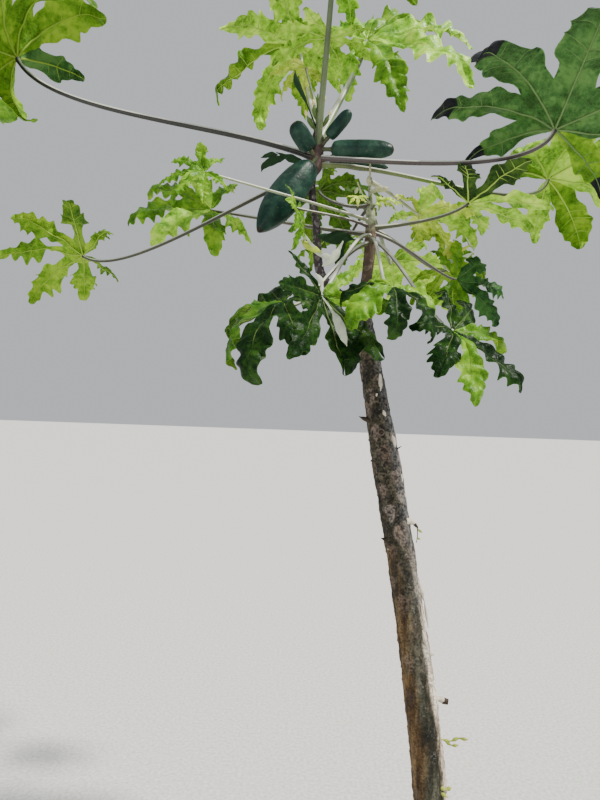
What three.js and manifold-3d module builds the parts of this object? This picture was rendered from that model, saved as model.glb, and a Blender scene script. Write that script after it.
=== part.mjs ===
// A young fruiting papaya tree: one leaning trunk that forks into two stems, each with a crown of
// long-stalked palmate leaves. Millimetres, +Z up. The origin is the centre of the trunk's flat cut at
// ground level, +X is the side away from the trunk's lean and -Y is the front.
import * as THREE from "three";
import { mergeVertices } from "three/addons/utils/BufferGeometryUtils.js";
import Module from "manifold-3d";

const wasm = await Module();
wasm.setup();

// Clearance between pieces that touch, the finest step that a shared vertex may be off by, and the number
// of halvings that finds a height on a stem.
const GAP = 0.3;
const WELD = 1e-4;
const HALVINGS = 24;
const DEGREE = Math.PI / 180;

// Trunk and stems: the points that each axis runs through, and its radius by share of its length.
const TRUNK_AXIS = [[1, 0, -30], [-20, 8, 610], [-170, 18, 1250], [-283, 0, 1834]];
const TRUNK_RADII = [
  [0, 70], [0.04, 57], [0.13, 50], [0.4, 45], [0.53, 40], [0.76, 38.5], [0.87, 31], [0.95, 27], [1, 20],
];
const TRUNK_SIDES = 16;
const TRUNK_RINGS = 26;

const SIDE_STEM_AXIS = [
  [-280, 0, 1815], [-266, 0, 1900], [-260, 0, 1990], [-262, 0, 2070], [-266, 0, 2175],
];
const SIDE_STEM_RADII = [[0, 18], [0.23, 15], [0.5, 16], [0.72, 13], [0.8, 7.5], [1, 4.5]];
const UPPER_STEM_AXIS = [
  [-286, 0, 1818], [-350, -4, 1852], [-395, 0, 1905], [-412, 0, 2040], [-428, 0, 2150], [-418, 0, 2225],
  [-416, 0, 2330],
];
const UPPER_STEM_RADII = [
  [0, 16], [0.25, 12.5], [0.55, 10.5], [0.72, 10.5], [0.77, 20], [0.88, 18], [1, 6],
];
const STEM_SIDES = 12;
const STEM_RINGS = 16;

// Leaf stalks: the radius where one leaves the stem and where it meets the blade, for a leaf of full
// size, and the power of its taper.
const FULL_REACH = 380;
const STALK_BASE_RADIUS = 8.5;
const STALK_TIP_RADIUS = 5;
const STALK_TAPER = 0.6;
const STALK_SIDES = 6;
const STALK_RINGS = 8;
// How far along its chord the pull of each end of a stalk's curve reaches, the share of the blade's lean
// that its far end takes, and how far that end turns to stand square to the blade where a leaf gives no
// upturn of its own.
const STALK_PULL = 0.33;
const STALK_END_PULL = 0.22;
const STALK_LEAN = 0.45;
const STALK_UPTURN = 0.5;

// Leaf blades: the middle lobe and those on each side of it, by their angle from it and their length as a
// share of its reach, then the shares of a lobe's length where it parts from the next one and where its
// rib has its first point.
const LOBE_ANGLES = [0, 43, 85, 127];
const LOBE_SHARES = [1, 0.97, 0.86, 0.64];
const SINUS_SHARE = 0.36;
const RIB_START = 0.34;
const BLADE_THICKNESS = 6;
// Edge of one side of a lobe from its sinus to its tip, as shares of the lobe's length: along the rib,
// out from it, and the place on the rib that the point is joined to.
const LOBE_EDGE = [
  { along: 0.63, out: 0.21, rib: 0.52 },
  { along: 0.69, out: 0.075, rib: 0.68 },
  { along: 0.84, out: 0.115, rib: 0.8 },
];
// Where the rearmost lobes start, and how far behind the stalk the blade is closed. The stalk's place and
// that notch are the first two points of each blade.
const HEEL = { along: 0.26, out: 0.1 };
const NOTCH_SHARE = 0.055;
const MIDDLE = 0;
const NOTCH = 1;
const SMALL_LOBE_EDGE = [{ along: 0.6, out: 0.16, rib: 0.6 }];
// How much one lobe differs from the next: its angle, its length, its droop and its turn about the rib.
const LOBE_SPREAD = { angle: 2, length: 0.08, droop: 22, turn: 14, edge: 0.06 };
const LOBE_RISE = 14;
const LOBE_FOLD = 16;

// Each leaf: height of its stalk's foot on the stem, the point that carries the blade, the middle lobe's
// length and heading, how far the blade leans and towards which side, and how far its lobes bend down.
// rise is the stalk's slope at its foot, upturn how far its end turns to stand square to the blade, and
// stout how much thicker than usual it is.
// Headings and sides are in degrees: 0 is +X, 90 the back, 180 the side the trunk leans to, 270 the front.
const UPPER_LEAVES = [
  {
    name: "high_left", foot: 2222, tip: [-1239, -44, 2449], reach: 355,
    heading: 311, lean: 64, side: 171, droop: 78, rise: 19, upturn: 1, stout: 1.15,
  },
  {
    name: "top_front", foot: 2238, tip: [-388, -140, 2765], reach: 340,
    heading: 80, lean: 12, side: 90, droop: 40, rise: 72, stout: 1.35,
  },
  {
    name: "top_left", foot: 2284, tip: [-479, 260, 2675], reach: 350,
    heading: 170, lean: 12, side: 110, droop: 55, rise: 56,
  },
  {
    name: "top_middle", foot: 2304, tip: [-399, 50, 2588], reach: 210,
    heading: 110, lean: 14, side: 90, droop: 30, rise: 66,
  },
  {
    name: "top_right", foot: 2264, tip: [-274, 171, 2651], reach: 374,
    heading: 17, lean: 55, side: 260, droop: 49, rise: 60, upturn: 0.3, stout: 1.45,
  },
  {
    name: "right_dark", foot: 2224, tip: [173, -175, 2247], reach: 387,
    heading: 257, lean: 27, side: 33, droop: 35, rise: -6, upturn: 0.85,
  },
  {
    name: "low_left", foot: 2186, tip: [-1084, 76, 1946], reach: 250,
    heading: 189, lean: 30, side: 109, droop: 8, rise: -20,
  },
  {
    name: "back", foot: 2248, tip: [-356, 600, 2355], reach: 300,
    heading: 92, lean: 10, side: 270, droop: 45, rise: 24,
  },
  {
    name: "right_bright", foot: 2204, tip: [274, 120, 2230], reach: 325,
    heading: 312, lean: 30, side: 75, droop: 60, rise: 9, upturn: 0.8,
  },
];
const SIDE_LEAVES = [
  {
    name: "left_edge_on", foot: 2054, tip: [-686, -240, 2088], reach: 125,
    heading: 195, lean: 56, side: 265, droop: 12, rise: 6, upturn: 0,
  },
  {
    name: "right_long", foot: 2034, tip: [3, -21, 2107], reach: 240,
    heading: 339, lean: 21, side: 39, droop: 4, rise: 6, upturn: 0.46,
  },
  {
    name: "right_low", foot: 2022, tip: [-23, -21, 1895], reach: 168,
    heading: 0, lean: 68, side: 289, droop: 12, rise: -10, upturn: 0.2,
  },
  {
    name: "right_front", foot: 2004, tip: [-121, -405, 1708], reach: 202,
    heading: 327, lean: 57, side: 299, droop: 12, rise: -20, upturn: 0.2,
  },
  {
    name: "front_left", foot: 2010, tip: [-403, -414, 1772], reach: 203,
    heading: 311, lean: 75, side: 311, droop: -13, rise: -4, upturn: 0.2,
  },
  {
    name: "mid_left", foot: 2016, tip: [-756, 319, 2165], reach: 287,
    heading: 206, lean: 50, side: 283, droop: 16, rise: 12, upturn: 0,
  },
  {
    name: "mid_dark", foot: 2098, tip: [-404, 170, 2190], reach: 225,
    heading: 60, lean: 30, side: 95, droop: 45, rise: 2,
  },
  {
    name: "left_low", foot: 1992, tip: [-486, -250, 1779], reach: 250,
    heading: 196, lean: 38, side: 230, droop: 60, rise: -12,
  },
  {
    name: "front", foot: 1994, tip: [-260, -470, 1783], reach: 155,
    heading: 275, lean: 30, side: 280, droop: 60, rise: 6,
  },
  {
    name: "right_young", foot: 2162, tip: [-107, 128, 2117], reach: 205,
    heading: 357, lean: 23, side: 10, droop: 19, rise: -2, upturn: 0,
  },
  {
    name: "back_right", foot: 2072, tip: [-128, 500, 2056], reach: 290,
    heading: 80, lean: 42, side: 90, droop: 60, rise: 10,
  },
  {
    name: "back_low", foot: 2032, tip: [-4, 190, 1967], reach: 200,
    heading: 20, lean: 40, side: 55, droop: 60, rise: 0,
  },
  {
    name: "back_left", foot: 2088, tip: [-329, 110, 2027], reach: 175,
    heading: 180, lean: 24, side: 250, droop: 55, rise: 14,
  },
  {
    name: "left_hang", foot: 2036, tip: [-467, -133, 2042], reach: 114,
    heading: 342, lean: 83, side: 342, droop: 18, rise: 12, upturn: 0,
  },
];
// Lobes on each side of the middle one, of a grown leaf and of the young ones round each growing tip.
const FULL_LOBES = LOBE_ANGLES.length - 1;
const YOUNG_LOBES = 2;
const UPPER_YOUNG = [
  {
    name: "young_a", foot: 2320, tip: [-456, 70, 2511], reach: 125,
    heading: 140, lean: 20, side: 140, droop: 30, rise: 80,
  },
];
const SIDE_YOUNG = [
  {
    name: "young_a", foot: 2092, tip: [-304, -62, 2101], reach: 36,
    heading: 265, lean: 55, side: 265, droop: 30, rise: 40,
  },
  {
    name: "young_b", foot: 2080, tip: [-250, -48, 2094], reach: 70,
    heading: 352, lean: 34, side: 275, droop: 30, rise: 40,
  },
];

// Seeds of the leaves of each crown and of its young leaves, and the numbers that spread them.
const UPPER_SEED = 1;
const SIDE_SEED = 21;
const UPPER_YOUNG_SEED = 41;
const SIDE_YOUNG_SEED = 51;
const SEED_STEP = 31;
const LOBE_STEP = 7;
const WAVE_STEP = 12.9898;
const WAVE_HEIGHT = 43758.5453;

// Fruit profiles, of a tapering fruit and of one with blunt ends: share of the body's length from the
// stalk, and share of the greatest radius.
const TAPERED = [[0, 0.38], [0.07, 0.66], [0.2, 0.88], [0.38, 1], [0.58, 0.98], [0.77, 0.78], [0.92, 0.42]];
const BLUNT = [[0, 0.5], [0.04, 0.78], [0.14, 0.94], [0.4, 1], [0.7, 0.98], [0.86, 0.84], [0.97, 0.5]];
// Fruit: where its stalk leaves the stem, its blossom end and its greatest radius.
const FRUIT = [
  { name: "fruit_large", stem: [-418, -14, 2220], end: [-566, -90, 1989], radius: 46, profile: TAPERED },
  { name: "fruit_front", stem: [-421, -8, 2222], end: [-483, -62, 2293], radius: 25, profile: BLUNT },
  { name: "fruit_upright", stem: [-404, -4, 2259], end: [-330, -30, 2345], radius: 18, profile: BLUNT },
  { name: "fruit_right", stem: [-404, -5, 2247], end: [-207, -30, 2242], radius: 25, profile: BLUNT },
  { name: "fruit_right_back", stem: [-407, 10, 2232], end: [-206, 95, 2240], radius: 21, profile: TAPERED },
];
const FRUIT_SIDES = 15;
const FRUIT_RIDGES = 5;
const RIDGE_SHARE = 0.035;
const FRUIT_STALK_RADIUS = 6;
const FRUIT_STALK_LENGTH = 26;

const COLOURS = {
  bark: { color: 0x8d8576, roughness: 0.9, metalness: 0 },
  stem: { color: 0x6f6a5c, roughness: 0.8, metalness: 0 },
  stalk: { color: 0x8fa35c, roughness: 0.55, metalness: 0 },
  leaf: { color: 0x4f7f2a, roughness: 0.5, metalness: 0 },
  young: { color: 0xa8bf4a, roughness: 0.5, metalness: 0 },
  fruit: { color: 0x2f5a45, roughness: 0.45, metalness: 0 },
};
const materials = Object.fromEntries(
  Object.entries(COLOURS).map(([slot, look]) => [slot, new THREE.MeshStandardMaterial(look)]),
);

// A share from 0 to 1 that is the same each time for one leaf, lobe and use.
function seeded(seed, lobe, use) {
  const wave = Math.sin((seed * SEED_STEP + lobe * LOBE_STEP + use) * WAVE_STEP) * WAVE_HEIGHT;
  return wave - Math.floor(wave);
}

// A value by share, eased between its stops.
function between(stops, share) {
  const next = stops.findIndex(([at]) => at >= share);
  if (next <= 0) return stops[0][1];
  const [from, low] = stops[next - 1];
  const [to, high] = stops[next];
  return THREE.MathUtils.lerp(low, high, THREE.MathUtils.smoothstep(share, from, to));
}

function point([x, y, z]) {
  return new THREE.Vector3(x, y, z);
}

// A level direction of a heading, raised by a slope.
function direction(heading, slope = 0) {
  const flat = Math.cos(slope * DEGREE);
  return new THREE.Vector3(
    flat * Math.cos(heading * DEGREE),
    flat * Math.sin(heading * DEGREE),
    Math.sin(slope * DEGREE),
  );
}

// A geometry with nothing but merged positions, as a closed solid needs.
function bare(geometry) {
  geometry.deleteAttribute("normal");
  geometry.deleteAttribute("uv");
  return mergeVertices(geometry, WELD);
}

// A closed tapering limb: a cylinder laid along a curve.
function limbGeometry(curve, radiusAt, sides, rings, extra) {
  const geometry = bare(new THREE.CylinderGeometry(1, 1, 1, sides, rings));
  const frames = curve.computeFrenetFrames(rings, false);
  const position = geometry.getAttribute("position");
  for (let i = 0; i < position.count; i++) {
    const share = THREE.MathUtils.clamp(position.getY(i) + 0.5, 0, 1);
    const ring = Math.round(share * rings);
    const radius = radiusAt(share) + extra;
    const placed = curve
      .getPointAt(share)
      .addScaledVector(frames.normals[ring], position.getX(i) * radius)
      .addScaledVector(frames.binormals[ring], -position.getZ(i) * radius);
    position.setXYZ(i, placed.x, placed.y, placed.z);
  }
  return geometry;
}

function solidOf(geometry, matrix = new THREE.Matrix4()) {
  const placed = geometry.clone().applyMatrix4(matrix);
  return new wasm.Manifold(
    new wasm.Mesh({
      numProp: 3,
      vertProperties: new Float32Array(placed.getAttribute("position").array),
      triVerts: new Uint32Array(placed.index.array),
    }),
  );
}

function geometryOf(solid) {
  const mesh = solid.getMesh();
  return new THREE.BufferGeometry()
    .setAttribute("position", new THREE.BufferAttribute(new Float32Array(mesh.vertProperties), 3))
    .setIndex(new THREE.BufferAttribute(new Uint32Array(mesh.triVerts), 1));
}

function boxesMeet(a, b) {
  const first = a.boundingBox();
  const second = b.boundingBox();
  return [0, 1, 2].every((k) => first.min[k] < second.max[k] && second.min[k] < first.max[k]);
}

// Pieces in the order they are placed. Each is cut clear of the ones before it, and a loose scrap of it
// is dropped.
const placedPieces = [];

function addPiece(group, name, slot, solid, swollen, matrix = new THREE.Matrix4()) {
  let kept = solid;
  for (const other of placedPieces) {
    if (boxesMeet(kept, other)) kept = kept.subtract(other);
  }
  const [largest] = kept.decompose().sort((a, b) => b.volume() - a.volume());
  placedPieces.push(swollen);
  const geometry = geometryOf(largest).applyMatrix4(matrix.clone().invert());
  const mesh = new THREE.Mesh(geometry, materials[slot]);
  mesh.name = name;
  mesh.applyMatrix4(matrix);
  group.add(mesh);
}

function addLimb(group, name, slot, curve, radiusAt, sides, rings) {
  const [solid, swollen] = [0, GAP].map((extra) =>
    solidOf(limbGeometry(curve, radiusAt, sides, rings, extra)),
  );
  addPiece(group, name, slot, solid, swollen);
}

function addStem(group, name, curve, radii) {
  addLimb(group, name, "stem", curve, (share) => between(radii, share), STEM_SIDES, STEM_RINGS);
}

// The trunk's axis starts a little under the ground, and the trunk is cut flat at ground level.
function addTrunk(group, curve) {
  const radiusAt = (share) => between(TRUNK_RADII, share);
  const [solid, swollen] = [0, GAP].map((extra) =>
    solidOf(limbGeometry(curve, radiusAt, TRUNK_SIDES, TRUNK_RINGS, extra)).trimByPlane([0, 0, 1], 0),
  );
  addPiece(group, "trunk", "bark", solid, swollen);
}

// The point on a stem's axis at a height, found by halving.
function onStem(curve, height) {
  let low = 0;
  let high = 1;
  for (let step = 0; step < HALVINGS; step++) {
    const middle = (low + high) / 2;
    if (curve.getPointAt(middle).z < height) low = middle;
    else high = middle;
  }
  return curve.getPointAt(low);
}

// A blade's own frame: x along its middle lobe, z out of its upper side.
function bladeFrame(leaf) {
  const normal = direction(leaf.side, 90 - leaf.lean);
  const out = direction(leaf.heading);
  out.addScaledVector(normal, -out.dot(normal)).normalize();
  const across = new THREE.Vector3().crossVectors(normal, out);
  return new THREE.Matrix4().makeBasis(out, across, normal).setPosition(point(leaf.tip));
}

// The stalk's curve from the stem's axis to the middle of the blade.
function stalkCurve(leaf, stemCurve) {
  const from = onStem(stemCurve, leaf.foot);
  const to = point(leaf.tip);
  const chord = to.clone().sub(from);
  const length = chord.length();
  const heading = Math.atan2(chord.y, chord.x) / DEGREE;
  const upturn = leaf.upturn ?? STALK_UPTURN;
  const end = chord.clone().normalize().multiplyScalar(1 - upturn);
  end.addScaledVector(direction(leaf.side, 90 - leaf.lean * STALK_LEAN), upturn).normalize();
  const first = from.clone().addScaledVector(direction(heading, leaf.rise), length * STALK_PULL);
  const second = to.clone().addScaledVector(end, -length * STALK_END_PULL);
  return new THREE.CubicBezierCurve3(from, first, second, to);
}

// One lobe's numbers: lobes count from the middle one, negative on the right. A lobe's rib is an arc
// that rises from the blade's middle and bends down.
function lobeOf(leaf, seed, index) {
  const rank = Math.abs(index);
  const draw = (use) => seeded(seed, index, use) * 2 - 1;
  return {
    angle: (Math.sign(index) * LOBE_ANGLES[rank] + draw(1) * LOBE_SPREAD.angle) * DEGREE,
    length: leaf.reach * LOBE_SHARES[rank] * (1 + draw(2) * LOBE_SPREAD.length),
    rise: LOBE_RISE * DEGREE,
    bend: (LOBE_RISE + leaf.droop + draw(3) * LOBE_SPREAD.droop) * DEGREE,
    turn: draw(4) * LOBE_SPREAD.turn * DEGREE,
    widen: 1 + draw(5) * LOBE_SPREAD.edge,
  };
}

// A point of a lobe, at shares of its length along the rib and out to one side of it.
function lobePoint(lobe, along, out) {
  const slope = lobe.rise - lobe.bend * along;
  const flat = (Math.sin(lobe.rise) - Math.sin(slope)) / lobe.bend;
  const high = (Math.cos(slope) - Math.cos(lobe.rise)) / lobe.bend;
  const tilt = LOBE_FOLD * DEGREE + lobe.turn * Math.sign(out);
  const aside = out * Math.cos(tilt);
  const above = Math.abs(out) * Math.sin(tilt);
  const forward = flat - above * Math.sin(slope);
  return new THREE.Vector3(
    forward * Math.cos(lobe.angle) - aside * Math.sin(lobe.angle),
    forward * Math.sin(lobe.angle) + aside * Math.cos(lobe.angle),
    high + above * Math.cos(slope),
  ).multiplyScalar(lobe.length);
}

// The sinus between two lobes lies midway between the places that each lobe gives it.
function sinusPoint(lobe, next) {
  const half = (next.angle - lobe.angle) / 2;
  const along = SINUS_SHARE * Math.cos(half);
  const out = SINUS_SHARE * Math.sin(half);
  return lobePoint(lobe, along, out).add(lobePoint(next, along, -out)).multiplyScalar(0.5);
}

// Adds a lobe's points and its faces between its two feet, and gives its edge from the right foot round
// to the left one.
function addLobe({ points, faces }, lobe, edge, feet) {
  const add = (along, out) => points.push(lobePoint(lobe, along, out)) - 1;
  const ribs = [RIB_START, ...edge.map(({ rib }) => rib)].map((along) => add(along, 0));
  const tip = add(1, 0);
  const [right, left] = [-1, 1].map((side, which) => {
    const row = edge.map(({ along, out }) => add(along, side * out * lobe.widen));
    const rim = [feet[which], ...row];
    const face = (a, b, c) => faces.push(side < 0 ? [a, c, b] : [a, b, c]);
    face(MIDDLE, ribs[0], rim[0]);
    for (let k = 0; k < edge.length; k++) {
      face(ribs[k], ribs[k + 1], rim[k + 1]);
      face(ribs[k], rim[k + 1], rim[k]);
    }
    face(ribs.at(-1), tip, rim.at(-1));
    return row;
  });
  return [...right, tip, ...left.reverse()];
}

// The blade as one open surface: its points, its upper faces and its outline in order.
function bladeSurface(leaf, seed, lobesEachSide) {
  const lobes = [];
  for (let index = -lobesEachSide; index <= lobesEachSide; index++) lobes.push(lobeOf(leaf, seed, index));
  const notch = new THREE.Vector3(-NOTCH_SHARE * leaf.reach, 0, 0);
  const surface = { points: [new THREE.Vector3(), notch], faces: [], outline: [NOTCH] };
  const add = (place) => surface.points.push(place) - 1;
  const sinuses = lobes.slice(1).map((lobe, k) => add(sinusPoint(lobes[k], lobe)));
  const [right, left] = [-1, 1].map((side) =>
    add(lobePoint(lobes.at(side < 0 ? 0 : -1), HEEL.along, side * HEEL.out)),
  );
  const feet = [right, ...sinuses, left];
  surface.outline.push(right);
  lobes.forEach((lobe, order) => {
    const rearmost = Math.abs(order - lobesEachSide) === FULL_LOBES;
    const edge = rearmost || lobesEachSide === YOUNG_LOBES ? SMALL_LOBE_EDGE : LOBE_EDGE;
    surface.outline.push(...addLobe(surface, lobe, edge, feet.slice(order)), feet[order + 1]);
  });
  surface.faces.push([MIDDLE, NOTCH, right], [MIDDLE, left, NOTCH]);
  return surface;
}

// The blade as a closed sheet: its surface moved out to both sides along its normals, with a rim. extra
// is added all round.
function bladeGeometry({ points, faces, outline }, extra) {
  const normals = points.map(() => new THREE.Vector3());
  for (const [a, b, c] of faces) {
    const first = points[b].clone().sub(points[a]);
    const across = first.cross(points[c].clone().sub(points[a]));
    for (const corner of [a, b, c]) normals[corner].add(across);
  }
  normals.forEach((normal) => normal.normalize());
  const places = points.map((place) => place.clone());
  outline.forEach((corner, k) => {
    const before = points[outline.at(k - 1)];
    const after = points[outline[(k + 1) % outline.length]];
    const aside = after.clone().sub(before).cross(normals[corner]).normalize();
    places[corner].addScaledVector(aside, extra);
  });
  const count = points.length;
  const half = BLADE_THICKNESS / 2 + extra;
  const position = new Float32Array(count * 6);
  places.forEach((place, i) => {
    place.clone().addScaledVector(normals[i], half).toArray(position, i * 3);
    place.clone().addScaledVector(normals[i], -half).toArray(position, (count + i) * 3);
  });
  const index = [];
  for (const [a, b, c] of faces) index.push(a, b, c, count + a, count + c, count + b);
  outline.forEach((a, k) => {
    const b = outline[(k + 1) % outline.length];
    index.push(b, a, count + a, b, count + a, count + b);
  });
  return new THREE.BufferGeometry()
    .setAttribute("position", new THREE.BufferAttribute(position, 3))
    .setIndex(index);
}

function addLeaf(crown, leaf, seed, lobesEachSide) {
  const young = lobesEachSide === YOUNG_LOBES;
  const size = Math.sqrt(leaf.reach / FULL_REACH) * (leaf.stout ?? 1);
  const base = STALK_BASE_RADIUS * size;
  const tip = STALK_TIP_RADIUS * size;
  const radiusAt = (share) => THREE.MathUtils.lerp(base, tip, share ** STALK_TAPER);
  const surface = bladeSurface(leaf, seed, lobesEachSide);
  const frame = bladeFrame(leaf);
  const blade = solidOf(bladeGeometry(surface, 0), frame);
  const swollen = solidOf(bladeGeometry(surface, GAP), frame).add(blade);
  const slot = young ? "young" : "leaf";
  addPiece(crown.group, `${crown.name}_blade_${leaf.name}`, slot, blade, swollen, frame);
  const name = `${crown.name}_stalk_${leaf.name}`;
  addLimb(crown.group, name, "stalk", stalkCurve(leaf, crown.stemCurve), radiusAt, STALK_SIDES, STALK_RINGS);
}

// A fruit in its own frame: it hangs down -Y from its stalk, with blunt ridges along it.
function fruitGeometry(fruit, length, extra) {
  const body = length - FRUIT_STALK_LENGTH;
  const profile = [new THREE.Vector2(0, 0), new THREE.Vector2(FRUIT_STALK_RADIUS + extra, 0)];
  for (const [down, wide] of fruit.profile) {
    profile.push(new THREE.Vector2(fruit.radius * wide + extra, -FRUIT_STALK_LENGTH - body * down));
  }
  profile.push(new THREE.Vector2(0, -length - extra));
  profile.reverse();
  const geometry = bare(new THREE.LatheGeometry(profile, FRUIT_SIDES));
  const position = geometry.getAttribute("position");
  for (let i = 0; i < position.count; i++) {
    const x = position.getX(i);
    const z = position.getZ(i);
    const swell = 1 + RIDGE_SHARE * Math.cos(FRUIT_RIDGES * Math.atan2(z, x));
    position.setXYZ(i, x * swell, position.getY(i), z * swell);
  }
  return geometry;
}

function addFruit(group, fruit) {
  const from = point(fruit.stem);
  const down = point(fruit.end).sub(from);
  const length = down.length();
  const hang = new THREE.Vector3(0, -1, 0);
  const turn = new THREE.Quaternion().setFromUnitVectors(hang, down.normalize());
  const matrix = new THREE.Matrix4().compose(from, turn, new THREE.Vector3(1, 1, 1));
  const [solid, swollen] = [0, GAP].map((extra) => solidOf(fruitGeometry(fruit, length, extra), matrix));
  addPiece(group, fruit.name, "fruit", solid, swollen, matrix);
}

const tree = new THREE.Group();
const upperCrown = new THREE.Group();
const sideCrown = new THREE.Group();
tree.add(upperCrown, sideCrown);

const trunkCurve = new THREE.CubicBezierCurve3(...TRUNK_AXIS.map(point));
const sideStemCurve = new THREE.CatmullRomCurve3(SIDE_STEM_AXIS.map(point));
const upperStemCurve = new THREE.CatmullRomCurve3(UPPER_STEM_AXIS.map(point));

addTrunk(tree, trunkCurve);
addStem(tree, "side_stem", sideStemCurve, SIDE_STEM_RADII);
addStem(tree, "upper_stem", upperStemCurve, UPPER_STEM_RADII);
FRUIT.forEach((fruit) => addFruit(upperCrown, fruit));

const upper = { group: upperCrown, name: "upper", stemCurve: upperStemCurve };
const side = { group: sideCrown, name: "side", stemCurve: sideStemCurve };
UPPER_LEAVES.forEach((leaf, k) => addLeaf(upper, leaf, UPPER_SEED + k, FULL_LOBES));
SIDE_LEAVES.forEach((leaf, k) => addLeaf(side, leaf, SIDE_SEED + k, FULL_LOBES));
UPPER_YOUNG.forEach((leaf, k) => addLeaf(upper, leaf, UPPER_YOUNG_SEED + k, YOUNG_LOBES));
SIDE_YOUNG.forEach((leaf, k) => addLeaf(side, leaf, SIDE_YOUNG_SEED + k, YOUNG_LOBES));

export default tree;
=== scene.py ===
"""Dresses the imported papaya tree: bark with leaf scars, finely cut leaves with raised veins, smooth
leaf stalks, ridged fruit and flower buds. The leaves follow the rule of the part's source, written
again here with a finer outline. Lengths in the rule are millimetres, and meshes are made in metres."""

import math
import random

import bpy
import numpy as np
from mathutils import Matrix, Vector, noise

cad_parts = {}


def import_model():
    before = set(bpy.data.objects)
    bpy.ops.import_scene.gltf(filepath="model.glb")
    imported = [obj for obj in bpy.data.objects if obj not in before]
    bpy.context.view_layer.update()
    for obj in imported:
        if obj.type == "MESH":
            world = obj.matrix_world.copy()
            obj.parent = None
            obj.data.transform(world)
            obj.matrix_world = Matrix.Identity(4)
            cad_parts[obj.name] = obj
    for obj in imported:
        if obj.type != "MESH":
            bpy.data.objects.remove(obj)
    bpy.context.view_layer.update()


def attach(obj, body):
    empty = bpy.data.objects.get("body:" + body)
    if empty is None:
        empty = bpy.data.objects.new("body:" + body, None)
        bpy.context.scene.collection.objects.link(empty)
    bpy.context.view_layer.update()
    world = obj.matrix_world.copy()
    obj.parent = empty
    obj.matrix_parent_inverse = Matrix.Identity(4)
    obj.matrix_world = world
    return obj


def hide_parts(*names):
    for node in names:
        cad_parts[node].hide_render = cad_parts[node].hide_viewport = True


MM = 0.001
ROOT = "root"

# Trunk and stems, as in the part: the points that each axis runs through, and its radius by share.
TRUNK_AXIS = [(1, 0, -30), (-20, 8, 610), (-170, 18, 1250), (-283, 0, 1834)]
TRUNK_RADII = [
    (0, 70), (0.04, 57), (0.13, 50), (0.4, 45), (0.53, 40), (0.76, 38.5), (0.87, 31), (0.95, 27), (1, 20),
]
SIDE_STEM_AXIS = [(-280, 0, 1815), (-266, 0, 1900), (-260, 0, 1990), (-262, 0, 2070), (-266, 0, 2175)]
SIDE_STEM_RADII = [(0, 18), (0.23, 15), (0.5, 16), (0.72, 13), (0.8, 7.5), (1, 4.5)]
UPPER_STEM_AXIS = [
    (-286, 0, 1818), (-350, -4, 1852), (-395, 0, 1905), (-412, 0, 2040), (-428, 0, 2150), (-418, 0, 2225),
    (-416, 0, 2330),
]
UPPER_STEM_RADII = [(0, 16), (0.25, 12.5), (0.55, 10.5), (0.72, 10.5), (0.77, 20), (0.88, 18), (1, 6)]

# Leaf stalks, as in the part.
FULL_REACH = 380
STALK_BASE_RADIUS = 8.5
STALK_TIP_RADIUS = 5
STALK_TAPER = 0.6
STALK_PULL = 0.33
STALK_END_PULL = 0.22
STALK_LEAN = 0.45
STALK_UPTURN = 0.5

# Leaf blades, as in the part.
LOBE_ANGLES = (0, 43, 85, 127)
LOBE_SHARES = (1, 0.97, 0.86, 0.64)
SINUS_SHARE = 0.36
RIB_START = 0.34
HEEL = (0.26, 0.1)
LOBE_SPREAD = {"angle": 2, "length": 0.08, "droop": 22, "turn": 14, "edge": 0.06}
LOBE_RISE = 14
LOBE_FOLD = 16
SEED_STEP = 31
LOBE_STEP = 7
WAVE_STEP = 12.9898
WAVE_HEIGHT = 43758.5453

# The fine outline of one side of a lobe, from the sinus to the tip. Each row holds the place on the rib that
# a point is joined to, its shares of the lobe's length along the rib and out from it, how far the edge that
# leads to it bulges, and how strong a side vein runs out to it. LOBE_EDGE has narrow teeth, PETAL_EDGE broad
# ones, and SMALL_LOBE_EDGE is for the lobes beside the stalk and for young leaves.
SINUS = None
LOBE_EDGE = [
    (RIB_START, SINUS, SINUS, 0, 0),
    (0.38, 0.4, 0.105, -0.08, 0),
    (0.42, 0.475, 0.15, 0.1, 0.6),
    (0.45, 0.475, 0.1, -0.1, 0),
    (0.51, 0.585, 0.19, 0.12, 1),
    (0.545, 0.575, 0.1, -0.12, 0),
    (0.6, 0.68, 0.175, 0.12, 1),
    (0.64, 0.665, 0.085, -0.12, 0),
    (0.7, 0.77, 0.14, 0.12, 0.8),
    (0.74, 0.76, 0.065, -0.12, 0),
    (0.8, 0.86, 0.105, 0.12, 0.7),
    (0.84, 0.85, 0.045, -0.12, 0),
    (0.9, 0.935, 0.06, 0.12, 0.4),
    (0.93, 0.935, 0.03, -0.1, 0),
    (1, 1, 0, 0.1, 0),
]
PETAL_EDGE = [
    (RIB_START, SINUS, SINUS, 0, 0),
    (0.4, 0.44, 0.14, -0.06, 0),
    (0.5, 0.575, 0.195, 0.12, 0.7),
    (0.53, 0.6, 0.18, -0.08, 0),
    (0.58, 0.68, 0.2, 0.1, 1),
    (0.64, 0.7, 0.135, -0.12, 0),
    (0.74, 0.81, 0.145, 0.14, 0.9),
    (0.79, 0.825, 0.095, -0.12, 0),
    (0.88, 0.93, 0.075, 0.14, 0.5),
    (0.92, 0.94, 0.045, -0.08, 0),
    (1, 1, 0, 0.12, 0),
]
SMALL_LOBE_EDGE = [
    (RIB_START, SINUS, SINUS, 0, 0),
    (0.4, 0.43, 0.115, -0.08, 0),
    (0.47, 0.53, 0.15, 0.1, 0.6),
    (0.5, 0.545, 0.135, -0.1, 0),
    (0.57, 0.66, 0.168, 0.12, 1),
    (0.63, 0.65, 0.1, -0.14, 0),
    (0.72, 0.775, 0.098, 0.12, 0.7),
    (0.77, 0.78, 0.058, -0.12, 0),
    (0.87, 0.895, 0.048, 0.1, 0.4),
    (0.9, 0.905, 0.032, -0.1, 0),
    (1, 1, 0, 0.08, 0),
]
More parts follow.
